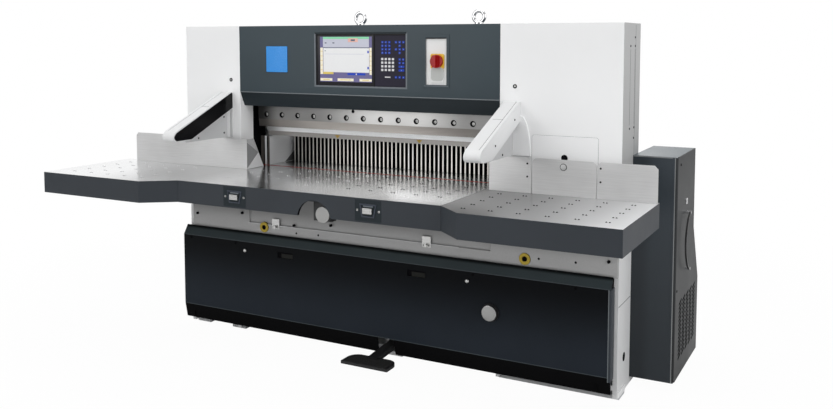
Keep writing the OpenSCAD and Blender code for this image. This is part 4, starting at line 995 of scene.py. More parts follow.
@dataclass
class Columns:
    """White sheet covers of the columns, with their screws, seams, hatch and blue plate.

    Attributes:
        fold: Radius of the folded sheet edges.
        screw_r: Radius of the face screws.
        face_screws: Places of the face screws, in X and Z.
        seam_ys: Places of the upright seams on the right side.
        seam_zs: Ends of those seams.
        seam_w: Width of a seam.
        joint_y: Place of the upright joint between the sheets of the right side.
        side_screws: Places of the screws on the right side, in Y and Z.
        hatch_r: Radius of the hatch's corners.
        hatch_gap: Width of the dark gap round the hatch, drawn as a painted shadow line.
        finger_r: Radius of the hatch's finger hole.
        finger_z: Height of that hole above the hatch's lower edge.
        side_in: Distance from the outer sides within which faces count as side or fold.
    """

    fold: float = 7.0
    screw_r: float = 9.5
    face_screws: tuple[Pair, ...] = ((-59.0, 1346.0), (1545.0, 1349.0))
    seam_ys: Pair = (109.0, 186.0)
    seam_zs: Pair = (1186.0, 1514.0)
    seam_w: float = 3.4
    joint_y: float = 197.0
    side_screws: tuple[Pair, ...] = ((109.0, 1172.0), (186.0, 1172.0), (109.0, 1528.0), (186.0, 1528.0),
                                     (184.0, 1566.0), (184.0, 1126.0))
    hatch_r: float = 10.0
    hatch_gap: float = 1.5
    finger_r: float = 15.0
    finger_z: float = 151.0
    side_in: float = 8.0

    def build(self) -> None:
        """Makes the covers and what sits on them."""
        for node in ("left_column_cover", "right_column_cover"):
            # The outer sides get a grey painted shade and their folds a painted highlight.
            soften(node, [WHITE, COLUMN_SIDE_SHADE, COLUMN_FOLD_HIGHLIGHT], 2.0, 3, pick=self._finish,
                   corners=[Corner(axis, self.fold, self._outside) for axis in (Axis.Z, Axis.X)])
        self._screws()
        self._side_seams()
        self._hatch()
        soften("blue_plate", [BLUE], 1.2, 3, corners=[Corner(Axis.Y, 4.0)])

    @staticmethod
    def _outside(middle: Vector) -> bool:
        """Tells whether an edge of a column's cover is at its front or its back."""
        low, high = DATUM.box("left_column_cover")
        return middle.y < low.y + 20.0 or middle.y > high.y - 20.0

    def _finish(self, face: bmesh.types.BMFace) -> int:
        """Finish of a face of a column's cover: its sheet, its outer side in grey painted shade or the fold
        beside that as a painted highlight.
        """
        along = (face.calc_center_median() - DATUM.zero).x / MM
        left, right = DATUM.box("left_column_cover")[0].x, DATUM.box("right_column_cover")[1].x
        if left + self.side_in < along < right - self.side_in or abs(face.normal.x) < 0.2:
            return 0
        return 1 if abs(face.normal.x) > 0.8 else 2

    def _screws(self) -> None:
        """Adds the capped screws on the fronts."""
        shape = Shape()
        for x, z in self.face_screws:
            shape.screw((x, 0.0, z), Axis.Y, -1, self.screw_r, 2.5, socket=1, sides=28)
        shape.piece("column_face_screws", "frame", [BLACK, SCREW])

    def _side_seams(self) -> None:
        """Adds the joint, the seams and the small screws on the right side."""
        low, high = DATUM.box("right_column_cover")
        right = high.x
        ends = (low.z + 8.0, high.z - 8.0)
        shape = Shape()
        for y, (foot, head) in ((self.joint_y, ends), *((y, self.seam_zs) for y in self.seam_ys)):
            shape.block((right - 1.0, y - self.seam_w / 2.0, foot),
                        (right + 0.25, y + self.seam_w / 2.0, head))
        shape.piece("column_side_seams", "frame", [SEAM])
        shape = Shape()
        for y, z in self.side_screws:
            shape.screw((right, y, z), Axis.X, 1, 5.0, 1.6, socket=1)
        shape.piece("column_side_screws", "frame", [BLACK, SHADE_AND_BLACK])

    def _hatch(self) -> None:
        """Makes the hatch with rounded corners over a painted shadow line that stands for its gap, and its
        finger hole as a dark disc of painted shade.
        """
        soften("access_hatch", [WHITE], 0.8, 2, corners=[Corner(Axis.Y, self.hatch_r, self._outer_corner)])
        low, high = DATUM.box("access_hatch")
        gap = self.hatch_gap
        shape = Shape()
        shape.sheet(rounded((low.x - gap, low.z - gap), (high.x + gap, high.z + gap), self.hatch_r + gap),
                    Axis.Y, -0.35, 0.6)
        shape.piece("hatch_gap", "frame", [HATCH_SHADOW])
        hole = ((low.x + high.x) / 2.0, -0.75, low.z + self.finger_z)
        shape = Shape().rod(hole, Axis.Y, 0.5, self.finger_r * 0.99, sides=36)
        shape.piece("hatch_finger_hole", "frame", [SHADE_AND_BLACK])

    @staticmethod
    def _outer_corner(middle: Vector) -> bool:
        """Tells whether an edge of the hatch is one of its four corners."""
        low, high = DATUM.box("access_hatch")
        return (min(abs(middle.x - low.x), abs(middle.x - high.x)) < 1.0
                and min(abs(middle.z - low.z), abs(middle.z - high.z)) < 1.0)


@dataclass
class Hood:
    """Dark hood between the columns, with its lifting eyes and the panel's rim.

    Attributes:
        rim: Lowest and highest outer corner of the rim round the control panel, in X and Z.
        rim_w: Width of that rim.
        fold: Radius of the bend between face and lip.
        bend_z: Height of the painted highlight line along the bend.
    """

    rim: tuple[Pair, Pair] = ((472.0, 1322.0), (1000.0, 1592.0))
    rim_w: float = 8.0
    fold: float = 6.0
    bend_z: float = 1282.0

    def build(self) -> None:
        """Makes the hood, the rim and the eyes."""
        soften("hood", [HOOD_GREY, DARK_PAINT_AND_LIP_SHADE], 1.6, 3, self._finish,
               [Corner(Axis.X, self.fold, lambda middle: middle.y < 60.0)])
        low, high = self.rim
        # The rim's bars are painted lighter as lit edges, and its top strip darker as painted shade.
        shape = Shape().rim(low, high, self.rim_w, -0.6, 3.4, 0.5)
        shape.block((low[0] + 2.0, -0.8, high[1] - self.rim_w), (high[0] - 2.0, 3.4, high[1]), 0.4, 1, 1)
        shape.piece("panel_rim", "frame", [RIM_LIT, DARK_PAINT_AND_LIP_SHADE])
        low, high = DATUM.box("hood")
        # A light line along the hood's bend, as a painted highlight.
        shape = Shape().block((low.x + 2.0, -0.35, self.bend_z), (high.x - 2.0, 0.4, self.bend_z + 4.5), 0.3)
        shape.piece("hood_bend_highlight", "frame", [BEND_HIGHLIGHT])
        soften("eyebolts", [BRIGHT], 1.0, 2)

    @staticmethod
    def _finish(face: bmesh.types.BMFace) -> int:
        """Finish of a face of the hood: its front or the lip that leans in below, which gets a darker copy of
        the paint as painted shade.
        """
        return 1 if -0.95 < face.normal.z < -0.05 and face.normal.y < 0.0 else 0


@dataclass
class ControlPanel:
    """Screen with a generic job page and the membrane keypad beside it.

    Attributes:
        key_w: Width of a small key.
        key_h: Height of a small key.
        key_t: Height of the keys above the film.
        pixel_t: Thickness of the screen's tiles.
    """

    key_w: float = 12.5
    key_h: float = 11.0
    key_t: float = 0.9
    pixel_t: float = 0.35

    def build(self) -> None:
        """Makes the bezel, the screen and the keys."""
        soften("screen_bezel", [BLACK], 1.0, 2)
        soften("screen_glass", [SCREEN_DARK], 1.0, 2)
        soften("keypad_panel", [KEYPAD], 1.0, 2)
        self._page()
        self._keys()

    def _page(self) -> None:
        """Lays out the picture on the screen."""
        front = DATUM.box("screen_glass")[0].y
        shape = Shape()

        def tile(x0: float, z0: float, x1: float, z1: float, finish: int, level: int = 1) -> None:
            """Adds one tile of the picture, on its level."""
            shape.block((x0, front - self.pixel_t * level, z0), (x1, front + 0.2, z1), finish=finish)

        tile(503.0, 1349.0, 803.0, 1571.0, 0)
        tile(521.0, 1518.0, 787.0, 1569.0, 1, 2)
        tile(521.0, 1560.0, 787.0, 1570.0, 6, 3)
        tile(668.0, 1545.0, 724.0, 1563.0, 7, 4)
        tile(684.0, 1549.0, 708.0, 1558.0, 5, 5)
        for x0, x1 in ((532.0, 542.0), (577.0, 589.0)):
            tile(x0, 1538.0, x1, 1543.0, 5, 3)
        tile(521.0, 1516.0, 787.0, 1519.0, 5, 3)
        tile(523.0, 1396.0, 788.0, 1515.0, 2, 2)
        tile(530.0, 1500.0, 538.0, 1503.0, 5, 3)
        tile(530.0, 1485.0, 760.0, 1486.5, 1, 3)
        for z in (1491.0, 1413.0):
            tile(778.0, z, 786.0, z + 12.0, 4, 3)
        for x0, x1 in ((505.0, 520.0), (790.0, 802.0)):
            tile(x0, 1386.0, x1, 1517.0, 8, 2)
            for step in range(5):
                tile(x0, 1406.0 + 23.0 * step, x1, 1408.0 + 23.0 * step, 3, 3)
        tile(522.0, 1386.0, 582.0, 1397.0, 3, 3)
        tile(664.0, 1383.0, 766.0, 1393.0, 4, 3)
        tile(712.0, 1385.0, 718.0, 1391.0, 8, 4)
        for x0, x1 in ((505.0, 575.0), (606.0, 699.0), (733.0, 802.0)):
            tile(x0, 1353.0, x1, 1366.0, 8, 2)
            tile(x0 + 16.0, 1358.0, x1 - 16.0, 1361.0, 3, 3)
        shape.piece("screen_page", "frame",
                    [SCREEN_PANE, SCREEN_SHADE, SCREEN_WHITE, SCREEN_GOLD, SCREEN_BLUE, SCREEN_TEXT,
                     SCREEN_GREEN, SCREEN_ROSE, SCREEN_CREAM])

    def _keys(self) -> None:
        """Sets the groups of keys on the film."""
        front = DATUM.box("keypad_panel")[0].y
        shape = Shape()

        def key(x: float, z: float, finish: int, wide: float = 1.0) -> None:
            """Adds one key about its middle."""
            half_w, half_h = self.key_w * wide / 2.0, self.key_h / 2.0
            shape.sheet(rounded((x - half_w, z - half_h), (x + half_w, z + half_h), 2.2, 3), Axis.Y,
                        front - self.key_t, front + 0.3, 0.4, 1, finish)
            if finish == 1:
                shape.block((x - 1.8, front - self.key_t - 0.1, z - 1.6), (x + 1.8, front, z + 1.6), finish=2)

        for row in range(4):
            for column in range(4):
                key(861.0 + 19.6 * column, 1463.5 - 17.4 * row, 0)
            for column in range(3):
                key(862.0 + 19.2 * column, 1544.0 - 16.9 * row, 1)
        for z in (1544.0, 1510.2, 1377.0):
            for column in range(3):
                key(936.5 + 20.2 * column, z, 1)
        for z in (1527.0, 1493.3):
            key(956.7, z, 1)
        for z in (1462.0, 1445.0):
            for x in (956.7, 975.8):
                key(x, z, 1)
        for z in (1427.6, 1410.4):
            key(966.2, z, 1, 2.5)
        shape.block((875.0, front - 0.4, 1374.5), (906.0, front + 0.3, 1379.5), finish=0)
        shape.piece("keypad_keys", "frame", [KEY_WHITE, KEY_BLUE, KEY_MARK])


@dataclass
class MainSwitch:
    """Pale plate with the yellow collar, the red main switch and a tab below.

    Attributes:
        tab: Lowest and highest corner of the grey tab, in X and Z.
        rim_w: Width of the plate's dark rim.
    """

    tab: tuple[Pair, Pair] = ((1128.0, 1365.0), (1191.0, 1428.0))
    rim_w: float = 15.0

    def build(self) -> None:
        """Makes the plate, the collar, the knob and the tab."""
        soften("switch_plate", [PALE], 1.0, 2)
        soften("switch_collar", [YELLOW], 0.9, 2, corners=[Corner(Axis.Y, 9.0)])
        soften("switch_knob", [RED], 1.6, 3)
        low, high = DATUM.box("switch_plate")
        wide = self.rim_w
        shape = Shape().rim((low.x, low.z), (high.x, high.z), wide, low.y - 0.6, low.y + 1.0, 0.4)
        # A dark line under the plate's top, as a painted shadow.
        shape.block((low.x + wide, low.y - 0.5, high.z - wide - 5.0),
                    (high.x - wide, low.y + 0.5, high.z - wide), finish=1)
        # A light line along the plate's bottom, as a painted highlight.
        shape.block((low.x + 6.0, low.y - 0.8, low.z + 8.0),
                    (high.x - 6.0, low.y + 0.5, low.z + 11.0), finish=2)
        shape.piece("switch_plate_rim", "frame", [HOOD_GREY, SHADE_AND_BLACK, RIM_LIT])
        shape = Shape().sheet(rounded(*self.tab, 14.0), Axis.Y, low.y - 2.0, low.y + 0.5, 0.7)
        shape.piece("switch_tab", "frame", [TAB_GREY])


@dataclass
class Arms:
    """White arms over the table, with their windows, seams, screws and brackets.

    Attributes:
        fold: Radius of the arms' long edges.
        slope: Fall of the top towards the front, per length.
        seam_in: Distance of the long seam from the arm's outer side.
        seam_w: Width of a seam.
        seam_ys: Both ends of the long seam.
        cross_y: Place of the seam across the top.
        screws: Places of the side screws, in Y and Z.
        bracket_screws: Places of each bracket's screws, in Y and Z.
        bracket_t: Thickness of the brackets' gussets.
        flange: Outline of a bracket's flange on the column, outwards from the arm's middle and in Z.
    """

    fold: float = 13.0
    slope: float = 0.4186
    seam_in: float = 16.0
    seam_w: float = 1.8
    seam_ys: Pair = (-12.0, -420.0)
    cross_y: float = -172.0
    screws: tuple[Pair, ...] = ((-71.0, 1206.0), (-288.0, 1113.6))
    bracket_screws: tuple[tuple[Pair, ...], ...] = (((-34.0, 1150.0), (-34.0, 1066.0), (-232.0, 1056.0)),
                                                    ((-128.0, 1056.0),))
    bracket_t: float = 8.0
    flange: tuple[Pair, ...] = ((-20.0, 1040.0), (88.0, 1040.0), (85.0, 1080.0), (81.0, 1120.0),
                                (75.0, 1158.0), (66.0, 1190.0), (54.0, 1212.0), (30.0, 1226.0),
                                (-20.0, 1226.0))

    def build(self) -> None:
        """Makes both arms and what sits on them."""
        for node in ("left_arm", "right_arm"):
            soften(node, [ARM_SHADED_WHITE], 2.0, 3, corners=[Corner(Axis.X, 16.0), Corner(Axis.Y, self.fold)])
        soften("arm_windows", [WINDOW], 0.8, 2, corners=[Corner(Axis.X, 14.0)])
        soften("arm_brackets", [BRACKET_SHADE], 1.2, 2)
        self._seams()
        self._screws()
        self._flanges()

    def _top(self, y: float) -> float:
        """Height of the arms' top at a place along them."""
        return DATUM.box("left_arm")[1].z + self.slope * y

    def _seam(self, start: float, stop: float) -> list[Pair]:
        """Outline of a seam that follows the arms' top between two places, in Y and Z."""
        return [(start, self._top(start) + 0.2), (stop, self._top(stop) + 0.2),
                (stop, self._top(stop) - 1.0), (start, self._top(start) - 1.0)]

    def _seams(self) -> None:
        """Adds the long seam and the cross seam on each arm."""
        shape = Shape()
        half = self.seam_w / 2.0
        for node, outer in (("left_arm", 0), ("right_arm", 1)):
            low, high = DATUM.box(node)
            x = low.x + self.seam_in if outer == 0 else high.x - self.seam_in
            shape.sheet(self._seam(*self.seam_ys), Axis.X, x - half, x + half)
            shape.sheet(self._seam(self.cross_y - half, self.cross_y + half), Axis.X,
                        low.x + self.fold, high.x - self.fold)
        shape.piece("arm_seams", "frame", [SEAM])

    def _screws(self) -> None:
        """Adds the small screws on the outer sides and on the brackets, and a dark line above the brackets as
        a painted shadow.
        """
        shape = Shape()
        for node, places in zip(("left_arm", "right_arm"), self.bracket_screws):
            low, high = DATUM.box(node)
            side = (low.x + high.x + self.bracket_t) / 2.0
            for y, z in places:
                shape.screw((side, y, z), Axis.X, 1, 5.0, 1.6, finish=1)
            # A dark line above each bracket, as a painted shadow.
            start, stop = (low.y + 130.0, low.z), (-14.0, high.z - 96.0)
            shape.sheet([start, stop, (stop[0], stop[1] - 5.0), (start[0], start[1] - 5.0)], Axis.X,
                        side - 0.5, side + 0.5, finish=1)
        for y, z in self.screws:
            shape.screw((DATUM.box("left_arm")[0].x, y, z), Axis.X, -1, 4.6, 1.6, finish=1)
            shape.screw((DATUM.box("right_arm")[1].x, y, z), Axis.X, 1, 4.6, 1.6, finish=1)
        shape.piece("arm_screws", "frame", [SCREW, SHADE_AND_BLACK])

    def _flanges(self) -> None:
        """Sets the brackets' curved flanges on the columns."""
        shape = Shape()
        for node, way in (("left_arm", -1.0), ("right_arm", 1.0)):
            low, high = DATUM.box(node)
            middle = (low.x + high.x) / 2.0
            shape.sheet([(middle + way * x, z) for x, z in self.flange], Axis.Y, -7.0, 0.5, 1.5, 2)
        shape.piece("arm_flanges", "frame", [WHITE])


@dataclass
class GuideWalls:
    """Brushed side guides on the tables.

    Attributes:
        screws: Places of the screws on the right guide, in X and Z.
        plunger: Place of the plunger on the right guide.
        fold: Place on the left guide's return where its folds meet, in Y and Z.
        strips: Both sides in X and the finish of each strip before the left lay.
        shade: Outline of the dark comb's reflection on the left lay, in Y and Z.
        lay_x: Place of the left lay's face.
    """

    screws: tuple[Pair, ...] = ((1619.0, 1012.0), (1619.0, 954.0), (1948.0, 1011.0), (1948.0, 953.0))
    plunger: Pair = (1784.0, 1006.0)
    fold: Pair = (62.0, 960.0)
    strips: tuple[tuple[float, float, int], ...] = ((9.0, 27.0, 2), (27.0, 35.0, 0), (35.0, 48.0, 1),
                                                    (48.0, 57.0, 0), (57.0, 64.6, 2))
    shade: tuple[Pair, ...] = ((300.0, 881.0), (620.0, 881.0), (620.0, 1036.0), (520.0, 1022.0))
    lay_x: float = 65.0

    def build(self) -> None:
        """Makes both guides and their screws."""
        for node in ("left_guide_wall", "right_guide_wall"):
            soften(node, [STAINLESS], 0.9, 2)
        front = DATUM.box("right_guide_wall")[0].y
        shape = Shape()
        for x, z in self.screws:
            shape.screw((x, front, z), Axis.Y, -1, 4.2, 1.5, finish=1)
        middle = (self.plunger[0], front, self.plunger[1])
        shape.turned([(0.0, 0.5), (15.5, 0.5), (15.5, -0.5), (0.0, -0.5)], middle, Axis.Y, finish=1)
        shape.turned([(0.0, 0.5), (13.0, 0.5), (13.0, -1.6), (11.5, -2.4), (0.0, -2.4)], middle, Axis.Y)
        shape.piece("guide_screws", "frame", [STAINLESS, SHADE_AND_BLACK])
        self._folds()
        self._strips()

    def _folds(self) -> None:
        """Lays the three folded faces on the left guide's return, in shaded, plain and lit copies of the
        steel as painted light and shade.
        """
        low, high = DATUM.box("left_guide_wall")
        y0, y1, z0, z1 = low.y + 2.0, high.y - 3.0, low.z + 1.5, high.z - 2.0
        shape = Shape()
        for finish, corners in enumerate(([(y0, z1 - 14.0), self.fold, (y0, z0 + 6.0)],
                                          [(y0, z1), (y0 + 50.0, z1), self.fold, (y0, z1 - 10.0)],
                                          [(y0 + 3.0, z0), self.fold, (y1, z0)])):
            shape.sheet(corners, Axis.X, high.x - 0.4, high.x + 0.6 + 0.3 * finish, finish=finish)
        shape.piece("guide_folds", "frame", [FOLD_DARK, FOLD_MID, FOLD_LIGHT])

    def _strips(self) -> None:
        """Sets the upright strips before the end of the left lay in black, lit and shaded finishes as painted
        light and shade, and the dark reflection on its face.
        """
        low = DATUM.box("rear_table")[0]
        foot = DATUM.box("centre_table")[1].z + 0.4
        top = DATUM.box("left_guide_wall")[1].z
        shape = Shape()
        for x0, x1, finish in self.strips:
            deep = 1.2 if finish else 0.6
            shape.block((x0, low.y - 2.0 - deep, foot), (x1, low.y + 0.5, top), 0.3, 1, finish)
        shape.piece("lay_strips", "frame", [SHADE_AND_BLACK, FOLD_LIGHT, STRIP_SHADE])
        shape = Shape().sheet(self.shade, Axis.X, self.lay_x - 0.5, self.lay_x + 0.4)
        shape.piece("lay_shade", "frame", [LAY_SHADE])


@dataclass
class Tables:
    """Steel tables with dark edges, their air jets and the cutting stick.

    Attributes:
        jet_r: Radius of a jet's ring.
        jet_h: Height of a jet's ball above the table.
        bright_to: Place in X up to which the jets' balls are bright as painted light; beyond it they are
            near-black as painted shade.
        jet_gap: Distance between the two jets of a pair.
        wing_ys: Rows of jets on the side tables.
        right_xs: First column and pitch on the right table.
        left_xs: First column and pitch on the left table.
        centre_ys: Rows of jets on the centre table.
        centre_xs: First column and pitch on the centre table.
    """

    jet_r: float = 4.6
    jet_h: float = 2.8
    bright_to: float = 760.0
    jet_gap: float = 13.0
    wing_ys: tuple[float, ...] = (-490.0, -395.0, -297.0, -203.0, -108.0)
    right_xs: Pair = (1519.0, 118.0)
    left_xs: Pair = (-690.0, 117.0)
    centre_ys: tuple[float, ...] = (62.0, -27.0, -118.0, -210.0, -300.0)
    centre_xs: Pair = (162.0, 116.0)

    def build(self) -> None:
        """Makes the tables and lays the jets."""
        for node, top in (("centre_table", CENTRE), ("left_table", TABLE), ("right_table", WING)):
            soften(node, [top, EDGE_GREY, LAY, SHADE_AND_BLACK], 2.2, 2, pick=self._finish)
        soften("cutting_stick", [STICK], 0.3, 1)
        self._jets("right_table_jets", self.right_xs, 6, self.wing_ys)
        self._jets("left_table_jets", self.left_xs, 5, self.wing_ys)
        self._jets("centre_table_jets", self.centre_xs, 11, self.centre_ys)

    @staticmethod
    def _finish(face: bmesh.types.BMFace) -> int:
        """Finish of a face of a table: its top, its edge, the bevel between them as a painted highlight line,
        or the wheel's arch in near-black painted shade.
        """
        if face.normal.z > 0.97:
            return 0
        if abs(face.normal.y) < 0.1 and abs(face.normal.x) < 0.995 and face.normal.z < 0.2:
            return 3
        return 2 if face.normal.z > 0.2 else 1

    def _jets(self, name: str, columns: Pair, count: int, rows: Sequence[float]) -> None:
        """Lays pairs of jets in rows and columns.

        Args:
            name: Name of the piece.
            columns: First column and the pitch.
            count: Number of columns.
            rows: Places of the rows.
        """
        top = DATUM.box("centre_table")[1].z
        shape = Shape()
        for column in range(count):
            for y in rows:
                for side in (-0.5, 0.5):
                    x = columns[0] + columns[1] * column + self.jet_gap * side
                    # Each jet is a near-black ring of painted shade round a ball that is painted bright or
                    # dark by its place.
                    shape.rod((x, y, top - 0.5), Axis.Z, 0.65, self.jet_r, sides=12)
                    shape.rod((x, y, top - 0.2), Axis.Z, self.jet_h, self.jet_r * 0.6, self.jet_r * 0.4,
                              sides=10, finish=1 if x < self.bright_to else 0)
        shape.piece(name, "frame", [SHADE_AND_BLACK, JET])


@dataclass
class CutStations:
    """Two cut buttons in the table's edge, the fine feed's handwheel and its bracket.

    Attributes:
        mouth: Half widths of the dark mouth round a paddle, at the top and the bottom.
        mouth_h: Height of that mouth.
        lip_w: Width of the mouth's raised lip.
        screw_x: Distance of a plate's screws from its middle.
    """

    mouth: Pair = (42.0, 31.0)
    mouth_h: float = 58.0
    lip_w: float = 6.0
    screw_x: float = 54.0

    def build(self) -> None:
        """Makes the plates, the paddles and the handwheel."""
        soften("button_plates", [DARK_PAINT_AND_LIP_SHADE], 0.8, 2)
        self._mouths()
        for side in ("left", "right"):
            soften(f"{side}_cut_button", [SCREW], 2.2, 3)
        soften("handwheel", [WHEEL], 1.2, 3)
        soften("handwheel_bracket", [BLACK_METAL], 1.2, 2)

    def _mouths(self) -> None:
        """Adds the raised lip of each mouth and the plates' screws."""
        shape = Shape()
        front = DATUM.box("button_plates")[0].y
        for side in ("left", "right"):
            low, high = DATUM.box(f"{side}_cut_button")
            x, z = (low.x + high.x) / 2.0, (low.z + high.z) / 2.0
            top, foot = self.mouth
            half = self.mouth_h / 2.0
            outer = [(x - top, z + half), (x + top, z + half), (x + foot, z - half), (x - foot, z - half)]
            shape.mitred(outer, self.lip_w, front - 3.0, front + 1.0, 0.8)
            # A lighter band above the paddle, as painted light.
            shape.block((x - 24.0, front - 1.6, z + 16.0), (x + 24.0, front + 0.5, z + 22.0), 0.5, 1, 3)
            for way in (-1.0, 1.0):
                shape.screw((x + way * self.screw_x, front, z), Axis.Y, -1, 5.0, 1.5, finish=1, socket=2)
        shape.piece("button_mouths", "frame", [MOUTH_BLUE, SCREW, SHADE_AND_BLACK, RIM_LIT])


@dataclass
class KnifeAndClamp:
    """Knife bar with its bolts, the knife, the clamp and what moves them.

    Attributes:
        bolts: Number of knife bolts.
        oil_hole: Place of the small hole between the bolts, in X and Z.
        mark_xs: Places of the two plain marks on the clamp's edge.
        mark_w: Width of a mark.
        head_r: Radius of a bolt's head.
        ring_w: Width of the dark ring round a bore, a painted shadow.
        sink: How deep the heads lie in their bores.
        bore_area: Area in square metres below which a face can belong to a bore.
    """

    bolts: int = 14
    oil_hole: Pair = (628.0, 1195.0)
    mark_xs: Pair = (508.0, 985.0)
    mark_w: float = 34.0
    head_r: float = 8.6
    ring_w: float = 3.6
    sink: float = 5.0
    bore_area: float = 0.0015

    def build(self) -> None:
        """Makes the knife's and the clamp's pieces."""
        soften("knife_bar", [BAR_STEEL, BAR_SHADE, SHADE_AND_BLACK], 1.4, 3, pick=self._bar_finish)
        soften("knife", [KNIFE], 0.25, 1)
        soften("pull_rod", [BRIGHT], 1.0, 2)
        soften("clamp_beam", [CLAMP_STEEL], 1.0, 2)
        soften("clamp_rods", [BRIGHT], 1.0, 2)
        soften("clamp_cylinders", [DARK_CAST], 1.5, 2)
        self._bolts()
        self._marks()

    def _bar_finish(self, face: bmesh.types.BMFace) -> int:
        """Finish of a face of the knife bar: its front, the foot that leans back in painted shade, or a
        bolt's bore in near-black painted shade.
        """
        low, high = DATUM.box("knife_bolts")
        place = (face.calc_center_median() - DATUM.zero) / MM
        inside = low.x - 3.0 < place.x < high.x + 3.0 and low.z - 3.0 < place.z < high.z + 3.0
        if inside and face.calc_area() < self.bore_area and place.y > DATUM.box("knife_bar")[0].y + 0.5:
            return 2
        return 1 if -0.9 < face.normal.z < -0.05 else 0

    def _bolts(self) -> None:
        """Sets the bolts into their bores, with dark rings as painted shadow, and adds the oil hole as a dark
        disc.
        """
        low, high = DATUM.box("knife_bolts")
        radius = (high.z - low.z) / 2.0
        pitch = (high.x - low.x - 2.0 * radius) / (self.bolts - 1)
        front = DATUM.box("knife_bar")[0].y
        deep = high.y - low.y - self.sink
        neck, head = 0.6 * self.head_r, self.head_r
        bolt = [(0.0, deep), (neck, deep), (neck, 6.0), (head, 6.0), (head, 1.2), (head - 1.2, 0.0),
                (4.2, 0.0), (4.2, 3.5), (0.0, 3.5)]
        # The dark rings round the bores are painted shadow.
        inner, outer = radius - 0.2, radius + self.ring_w
        ring = [(inner, 0.6), (outer, 0.6), (outer, -0.3), (inner, -0.3), (inner, 0.6)]
        shape = Shape()
        for number in range(self.bolts):
            x, z = low.x + radius + pitch * number, (low.z + high.z) / 2.0
            shape.turned(bolt, (x, low.y + self.sink, z), Axis.Y, 24)
            shape.turned(ring, (x, front, z), Axis.Y, 28, 1)
        shape.rod((self.oil_hole[0], front - 0.3, self.oil_hole[1]), Axis.Y, 0.8, 9.0, sides=24, finish=1)
        shape.piece("knife_bolts_finished", body_of("knife_bar"), [SCREW, SHADE_AND_BLACK], ["knife_bolts"])

    def _marks(self) -> None:
        """Adds the two small arrow marks on the clamp's front."""
        low = DATUM.box("clamp_beam")[0]
        shape = Shape()
        for x in self.mark_xs:
            shape.sheet([(x - self.mark_w / 2.0, low.z + 20.0), (x + self.mark_w / 2.0, low.z + 20.0),
                         (x, low.z + 2.0)], Axis.Y, low.y - 0.15, low.y + 0.4)
        shape.piece("clamp_marks", body_of("clamp_beam"), [MARK_GOLD])


@dataclass
class Backgauge:
    """Comb of the backgauge, its spindle, motor and the rear table.

    Attributes:
        comb_d: Depth of the pale fronts of the fingers.
    """

    comb_d: float = 16.0

    def build(self) -> None:
        """Makes the comb and what carries and feeds it."""
        soften("backgauge", [FEED_WHITE, SHADE_AND_BLACK, DARK_CAST], 0.4, 1, pick=self._comb_finish)
        soften("rear_table", [TABLE, EDGE_GREY, LAY], 1.0, 2, pick=self._rear_finish)
        soften("rear_legs", [CAST_GREY], 2.0, 2)
        soften("feed_spindle", [BRIGHT], 0.6, 1)
        soften("feed_motor", [CABINET_GREY], 2.0, 2)

    def _comb_finish(self, face: bmesh.types.BMFace) -> int:
        """Finish of a face of the backgauge: a finger's front, a gap in near-black painted shade, or the
        carriage's back.
        """
        deep = (face.calc_center_median() - DATUM.zero).y / MM - DATUM.box("backgauge")[0].y
        if deep < self.comb_d and face.normal.y < -0.7:
            return 0
        return 2 if face.normal.y > 0.7 else 1

    @staticmethod
    def _rear_finish(face: bmesh.types.BMFace) -> int:
        """Finish of a face of the rear table: its top, its lays in painted light or its edges."""
        top = DATUM.box("centre_table")[1].z
        height = (face.calc_center_median() - DATUM.zero).z / MM
        if height > top + 1.0:
            return 2
        return 0 if face.normal.z > 0.7 else 1


